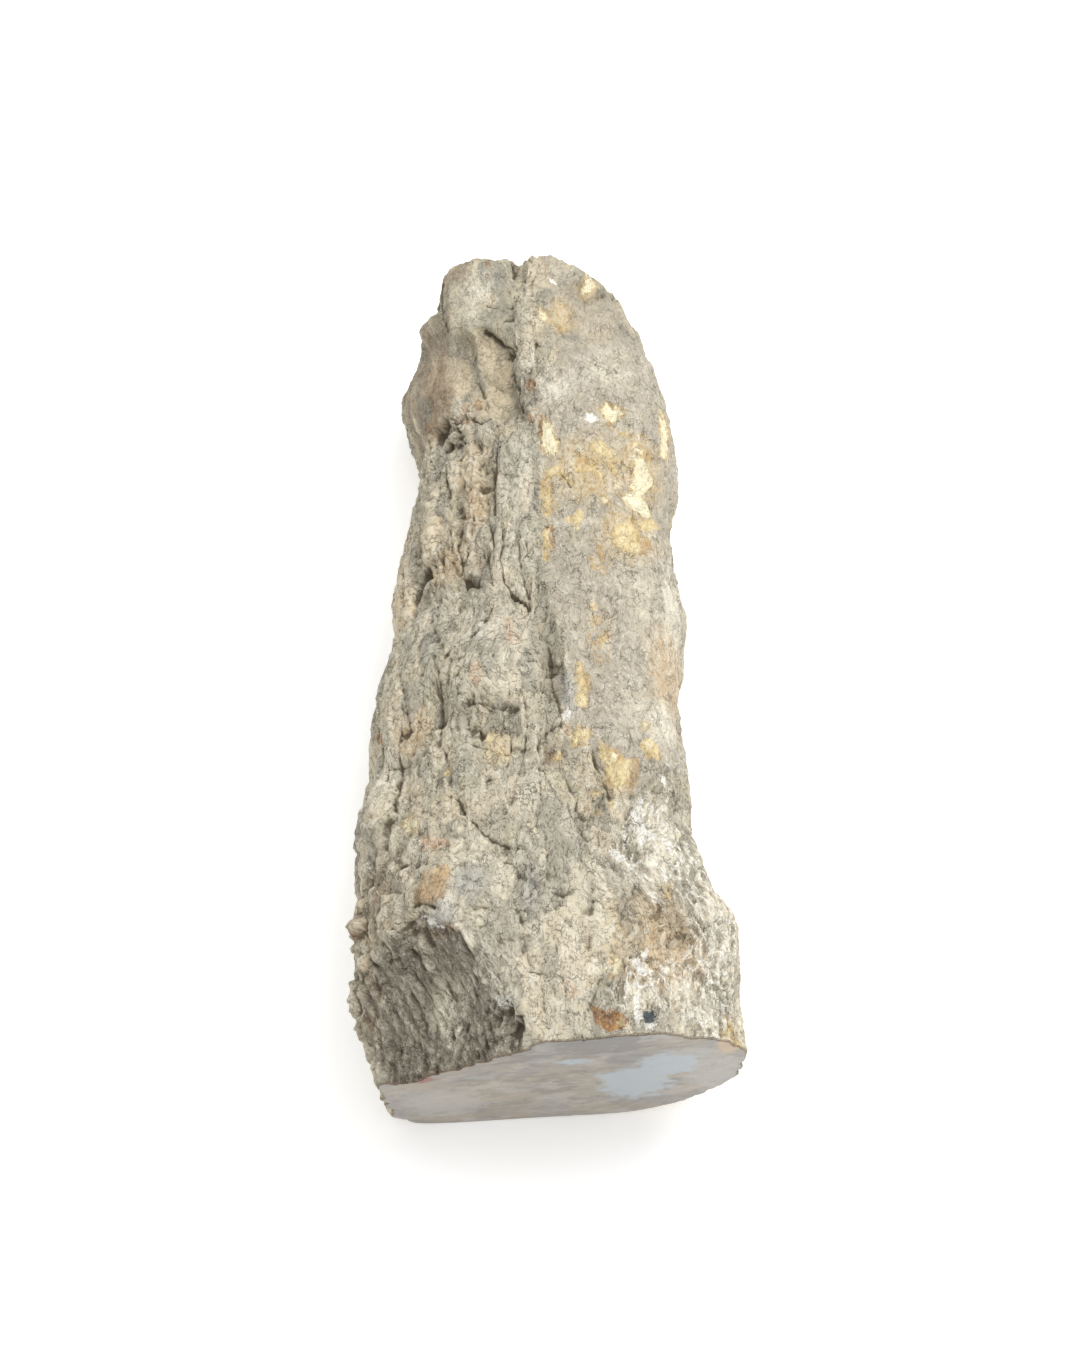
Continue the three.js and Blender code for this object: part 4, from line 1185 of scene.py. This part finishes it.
# rust, iron and chert in patches, each of two tones, and chert in veins
rust_tone = tree.mix(RUST_BROWN, AMBER, mottle.rise(0.44, 0.6) * 0.8)
iron_tone = tree.mix(IRON_BROWN, IRON_ORANGE, (coarse_mottle * 0.6 + mottle * 0.4).rise(0.4, 0.58))
tan_tone = tree.mix(TAN_DARK, TAN_BROWN, (mark("tan") * 0.5 + bits * 0.3 + mottle * 0.6).rise(0.6, 1.0))
gold_field = mark("gold") * 0.3 + mottle * 0.5 + coarse_mottle * 0.4 + bits * 0.2
gold_tone = tree.mix(GOLD_DARK, GOLD_LIGHT, gold_field.rise(0.55, 0.95))
straw_tone = tree.mix(GOLD_LIGHT, STRAW_PALE, (mark("straw") * 0.5 + mottle).rise(0.65, 1.0))
veins = (grain(3.2, 1.3, 5, 0.65) + 0.16 * mark("vein")).rise(0.6, 0.65) + thread(4.5, 1.4, 0.025)
gold_share = ragged_mark("gold", 1.8, 1.3) * (0.7 + 0.3 * wide_clouds)
stained = ground.layered([
    (rust_tone, ragged_mark("rust", 1.6, 1.2) * 0.85),
    (iron_tone, ragged_mark("iron", 1.8, 1.0) * 0.9),
    (tan_tone, ragged_mark("tan", 1.8, 1.2) * (0.5 + 0.4 * wide_clouds)),
    (gold_tone, gold_share + veins * mark("vein").rise(0.02, 0.3) * 0.7),
    (GOLD_DARK, bitten("straw", 1.6, 1.2).rise(0.16, 0.34) * 0.55),
    (straw_tone, ragged_mark("straw", 1.3, 1.6) * 0.95),
])

# over the stone and its patches: light grains and a painted highlight on crests, then dark joints, painted
# shade along cracks and painted shade in hollows
light_share = mottle.rise(0.52, 0.7) * (0.3 + 0.25 * pale_share) + mark("tread").rise(0.5, 0.85) * 0.35
light_share = light_share + light_lines * (0.35 + 0.35 * line_field) * (1 - 0.5 * scoop_share)
light_share = light_share + bits.rise(0.5, 0.9) * (0.15 + 0.35 * pale_share)
light_share = light_share + plate_share * coarse_mottle.rise(0.53, 0.68) * 0.3
light_share = light_share + fibre.rise(0.55, 0.68) * scoop_share * 0.3
dark_share = mottle.rise(0.46, 0.32) * 0.26 + dark_threads * 0.4
dark_share = dark_share + fibre.rise(0.44, 0.3) * (0.25 + 0.35 * scoop_share)
dark_share = dark_share + dark_lines * (0.42 - 0.2 * line_field) * (1 - 0.4 * plate_share)
dark_share = dark_share + joints * 0.35 + bits.rise(0.5, 0.15) * 0.08
dark_share = dark_share * (1 - 0.3 * mark("pale").rise(0.2, 1))
# painted shade: a dark line painted along the cracks, darker for deeper ones
crack_shade_line = abs(mark("crack_side") + (grain(1.5, 2.0, 4) - 0.5)).rise(0.45, 0.1)
crack_shade_line = crack_shade_line * (0.45 + 0.55 * grain(2.2, 1.5, 4).rise(0.4, 0.52))
flaky = mark("chalk").rise(0.05, 0.5) * (0.2 + 0.8 * mark("pale").rise(0.2, 0.9))
crackle = crinkle(2.3, 1.8)
flake_gaps = bits.rise(0.38, 0.2) * 0.35 + crackle.rise(0.7, 0.3) * coarse_mottle.rise(0.6, 0.45) * 0.55
chalky = (mark("chalk") * 0.35 + mottle * 0.5 + coarse_mottle * 0.25 + light_lines * 0.15).rise(0.55, 0.75)
weathered = stained.layered([
    # painted highlight: the crests of the relief lightened in colour
    (CREAM_GRAIN, light_share * calm * sober + mark("crest") * 0.3),
    (DARK_GRAIN_AND_SHADE, dark_share * calm * sober + mark("tread").rise(0.5, 0.15) * 0.2),
    # painted shade along the cracks
    (DARK_GRAIN_AND_SHADE, crack_shade_line * mark("crack_painted_shade").rise(0.05, 0.7) * 0.8),
    (FLAKE_DARK, flaky * flake_gaps),
    (FLAKE_WHITE, flaky * (bits.rise(0.7, 0.85) * 0.4 + crackle.rise(0.8, 1.15) * 0.9)),
    (CREAM_GRAIN, chalky * 0.75),
    # painted shade: the colour darkened in the hollows of the relief
    (DARK_GRAIN_AND_SHADE, mark("painted_hollow_shade").rise(0.15, 0.9) * (0.8 - 0.25 * mark("pale"))),
    (CHALK, ragged_mark("white", 1.0, 1.7) * (0.6 + 0.35 * mottle.rise(0.4, 0.55))),
    (SLATE_BLACK, ragged_mark("slate", 0.9, 1.1)),
])

# the sawn end: grey and clouded, streaked along the cut, with a pale blue patch of chalcedony
saw_depth = tree.vector("DOT_PRODUCT", spot, (SAW_SKEW, -1.0, 0.0), output=1)
on_saw = saw_depth.rise(saw_plane - 0.2, saw_plane - 0.1)
by_saw = saw_depth.rise(saw_plane - 0.7, saw_plane - 0.45)
SAWN_GREY = srgb(146, 139, 130)
SAWN_TAN = srgb(164, 150, 127)
SAWN_DARK = srgb(114, 109, 104)
SAWN_LIGHT = srgb(177, 173, 165)
SAWN_BLUE = srgb(168, 177, 182)
SAWN_RED = srgb(142, 80, 62)


def cloud(across, upright, detail=2.0, turn=0.2):
    """Noise over the sawn end, drawn out to the sides and a little tilted."""
    point = tree.make("ShaderNodeMapping", None, {"Vector": spot, "Rotation": (0.0, turn, 0.0)})
    return noise_at(fitted(point, across, across, upright), detail, 0.6)


def disc(centre, radii):
    """1 in the middle of an ellipsoid and 0 at its surface."""
    offset = tree.vector("DIVIDE", tree.vector("SUBTRACT", spot, centre), radii)
    return 1 - tree.vector("LENGTH", offset, output=1)


def saw_patch(centre, radii, size=3.0, bite=1.0):
    """A disc whose edge is bitten by noise."""
    return disc(centre, radii) + (grain(size, 1, 4) - 0.5) * bite


blue_lens = saw_patch((23, -126, 26), (11, 40, 16), 4)
blue_shoulder = saw_patch((31, -126, 40), (9, 40, 11), 4)
blue_streak = saw_patch((8, -126, 45), (6, 40, 2.6), 3)
chalcedony = tree.math("MAXIMUM", tree.math("MAXIMUM", blue_lens, blue_shoulder), blue_streak)
chalcedony = chalcedony - (cloud(7, 3.5, 4) - 0.5) * 1.1
top_shade = saw_patch((10, -126, 56), (24, 40, 9), 5) + 0.6 * (cloud(9, 3) - 0.5)
sawn = tree.mix(SAWN_GREY, SAWN_TAN, cloud(18, 10).rise(0.42, 0.62) * 0.7)
sawn = sawn.layered([
    (SAWN_TAN, saw_patch((2, -127, 27), (26, 40, 17), 6, 1.4).rise(0.0, 0.6) * 0.6),
    (SAWN_DARK, top_shade.rise(0.0, 0.5) * 0.6),
    (SAWN_DARK, cloud(13, 8, 4).rise(0.5, 0.64) * 0.55),
    (SAWN_LIGHT, cloud(14, 8, 4, 0.1).rise(0.5, 0.62) * 0.55),
    (SAWN_DARK, cloud(4.5, 2.0, 4).rise(0.54, 0.66) * 0.45),
    (SAWN_LIGHT, cloud(5, 2.2, 4, 0.1).rise(0.56, 0.66) * 0.4),
    (SAWN_DARK, saw_patch((21, -126, 45), (8, 40, 5), 3).rise(0.0, 0.5) * 0.6),
    (SAWN_LIGHT, saw_patch((-24, -128, 18), (14, 40, 14)).rise(0.0, 0.6) * 0.6),
    (SAWN_LIGHT, saw_patch((42, -125, 34), (9, 40, 22)).rise(0.0, 0.6) * 0.6),
    (SAWN_BLUE, chalcedony.rise(0.05, 0.4) * 0.9),
    (SAWN_DARK, thread(5, 1, 0.012, 0.46) * grain(11, 1, 2).rise(0.5, 0.62) * 0.5),
    (SAWN_RED, saw_patch((-29.5, -128, 36.4), (5.4, 6, 2.8), 1.6, 0.9).rise(0.15, 0.4) * 0.9),
    (RUST_BROWN, saw_patch((40, -125, 57.5), (1.6, 5, 2.6), 1.4, 0.6).rise(0.1, 0.4) * 0.8),
    (TAN_BROWN, saw_patch((45, -124, 52), (5, 8, 8), 2, 0.9).rise(0.15, 0.5) * 0.6),
])
colour = weathered.layered([(UMBER_BROWN, by_saw * 0.6), (sawn, on_saw)])

BUMP_DEPTH = 1.0
STONE_DULLNESS = 0.82
SAWN_DULLNESS = 0.32
relief_grain = mottle * 0.35 + fibre * 0.3 + light_lines * 0.15 - dark_lines * 0.2 - dark_threads * 0.3
relief_grain = relief_grain + bits * 0.12 - joints * 0.2
relief_grain = relief_grain * (1.15 - 0.35 * plate_share) * (1 - on_saw)
bump_values = {"Strength": 1.0, "Distance": BUMP_DEPTH * MM, "Height": relief_grain}
bump = tree.make("ShaderNodeBump", None, bump_values)
dullness = (STONE_DULLNESS + 0.1 * mottle) * (1 - on_saw) + SAWN_DULLNESS * on_saw
for signal, socket in ((colour, "Base Color"), (bump, "Normal"), (dullness, "Roughness")):
    finish.node_tree.links.new(signal.socket, shader.inputs[socket])
shader.inputs["Specular IOR Level"].default_value = 0.4

thinned.materials.clear()
thinned.materials.append(finish)
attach(stone, "root")
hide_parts("petrified_wood")

# ---------------------------------------------------------------- the table, the light and the camera
# A white light table, broad soft light from overhead, and a camera that looks down along the stone.
TABLE_HALF = 4.0
TABLE_WHITE = (0.93, 0.93, 0.93, 1)
TABLE_GLOW = (1, 0.99, 0.97, 1)
TABLE_GLOW_STRENGTH = 0.3
TABLE_ROUGHNESS = 0.9
STUDIO_WHITE = (1, 1, 1, 1)
STUDIO_STRENGTH = 0.66
MIDDLE_OF_TABLE = (0, 0, 0)
IMAGE_HEIGHT = 1350
FOCAL_PIXELS = 1924.6
CAMERA_PLACE = (0.0, -0.273, 0.488)
CAMERA_TILT = math.radians(29.68)

table_corners = [(x * TABLE_HALF, y * TABLE_HALF, 0.0) for x, y in ((-1, -1), (1, -1), (1, 1), (-1, 1))]
floor_mesh = mesh_of("tabletop", table_corners, [(0, 1, 2, 3)])
floor = bpy.data.objects.new("tabletop", floor_mesh)
bpy.context.collection.objects.link(floor)
table_finish = bpy.data.materials.new("tabletop_white")
table_finish.use_nodes = True
table_shader = table_finish.node_tree.nodes["Principled BSDF"]
table_shader.inputs["Base Color"].default_value = TABLE_WHITE
table_shader.inputs["Roughness"].default_value = TABLE_ROUGHNESS
table_shader.inputs["Emission Color"].default_value = TABLE_GLOW
table_shader.inputs["Emission Strength"].default_value = TABLE_GLOW_STRENGTH
floor_mesh.materials.append(table_finish)


def soft_light(name, place, size, power):
    """A round soft light that shines at the middle of the table."""
    light = bpy.data.lights.new(name, "AREA")
    light.shape = "DISK"
    light.size = size
    light.energy = power
    lamp = bpy.data.objects.new(name, light)
    lamp.location = place
    lamp.rotation_euler = (Vector(MIDDLE_OF_TABLE) - Vector(place)).to_track_quat("-Z", "Y").to_euler()
    bpy.context.collection.objects.link(lamp)


soft_light("key", place=(0.6, 0.45, 1.1), size=0.9, power=8)
soft_light("overhead", place=(-0.1, 0.1, 1.4), size=1.4, power=5.5)

world = bpy.data.worlds.new("studio")
world.use_nodes = True
world.node_tree.nodes["Background"].inputs["Color"].default_value = STUDIO_WHITE
world.node_tree.nodes["Background"].inputs["Strength"].default_value = STUDIO_STRENGTH
bpy.context.scene.world = world
bpy.context.scene.view_settings.view_transform = "Standard"

camera_data = bpy.data.cameras.new("camera")
camera_data.sensor_fit = "VERTICAL"
camera_data.angle = 2 * math.atan(IMAGE_HEIGHT / 2 / FOCAL_PIXELS)
camera = bpy.data.objects.new("camera", camera_data)
camera.location = CAMERA_PLACE
camera.rotation_euler = (CAMERA_TILT, 0, 0)
bpy.context.collection.objects.link(camera)
bpy.context.scene.camera = camera
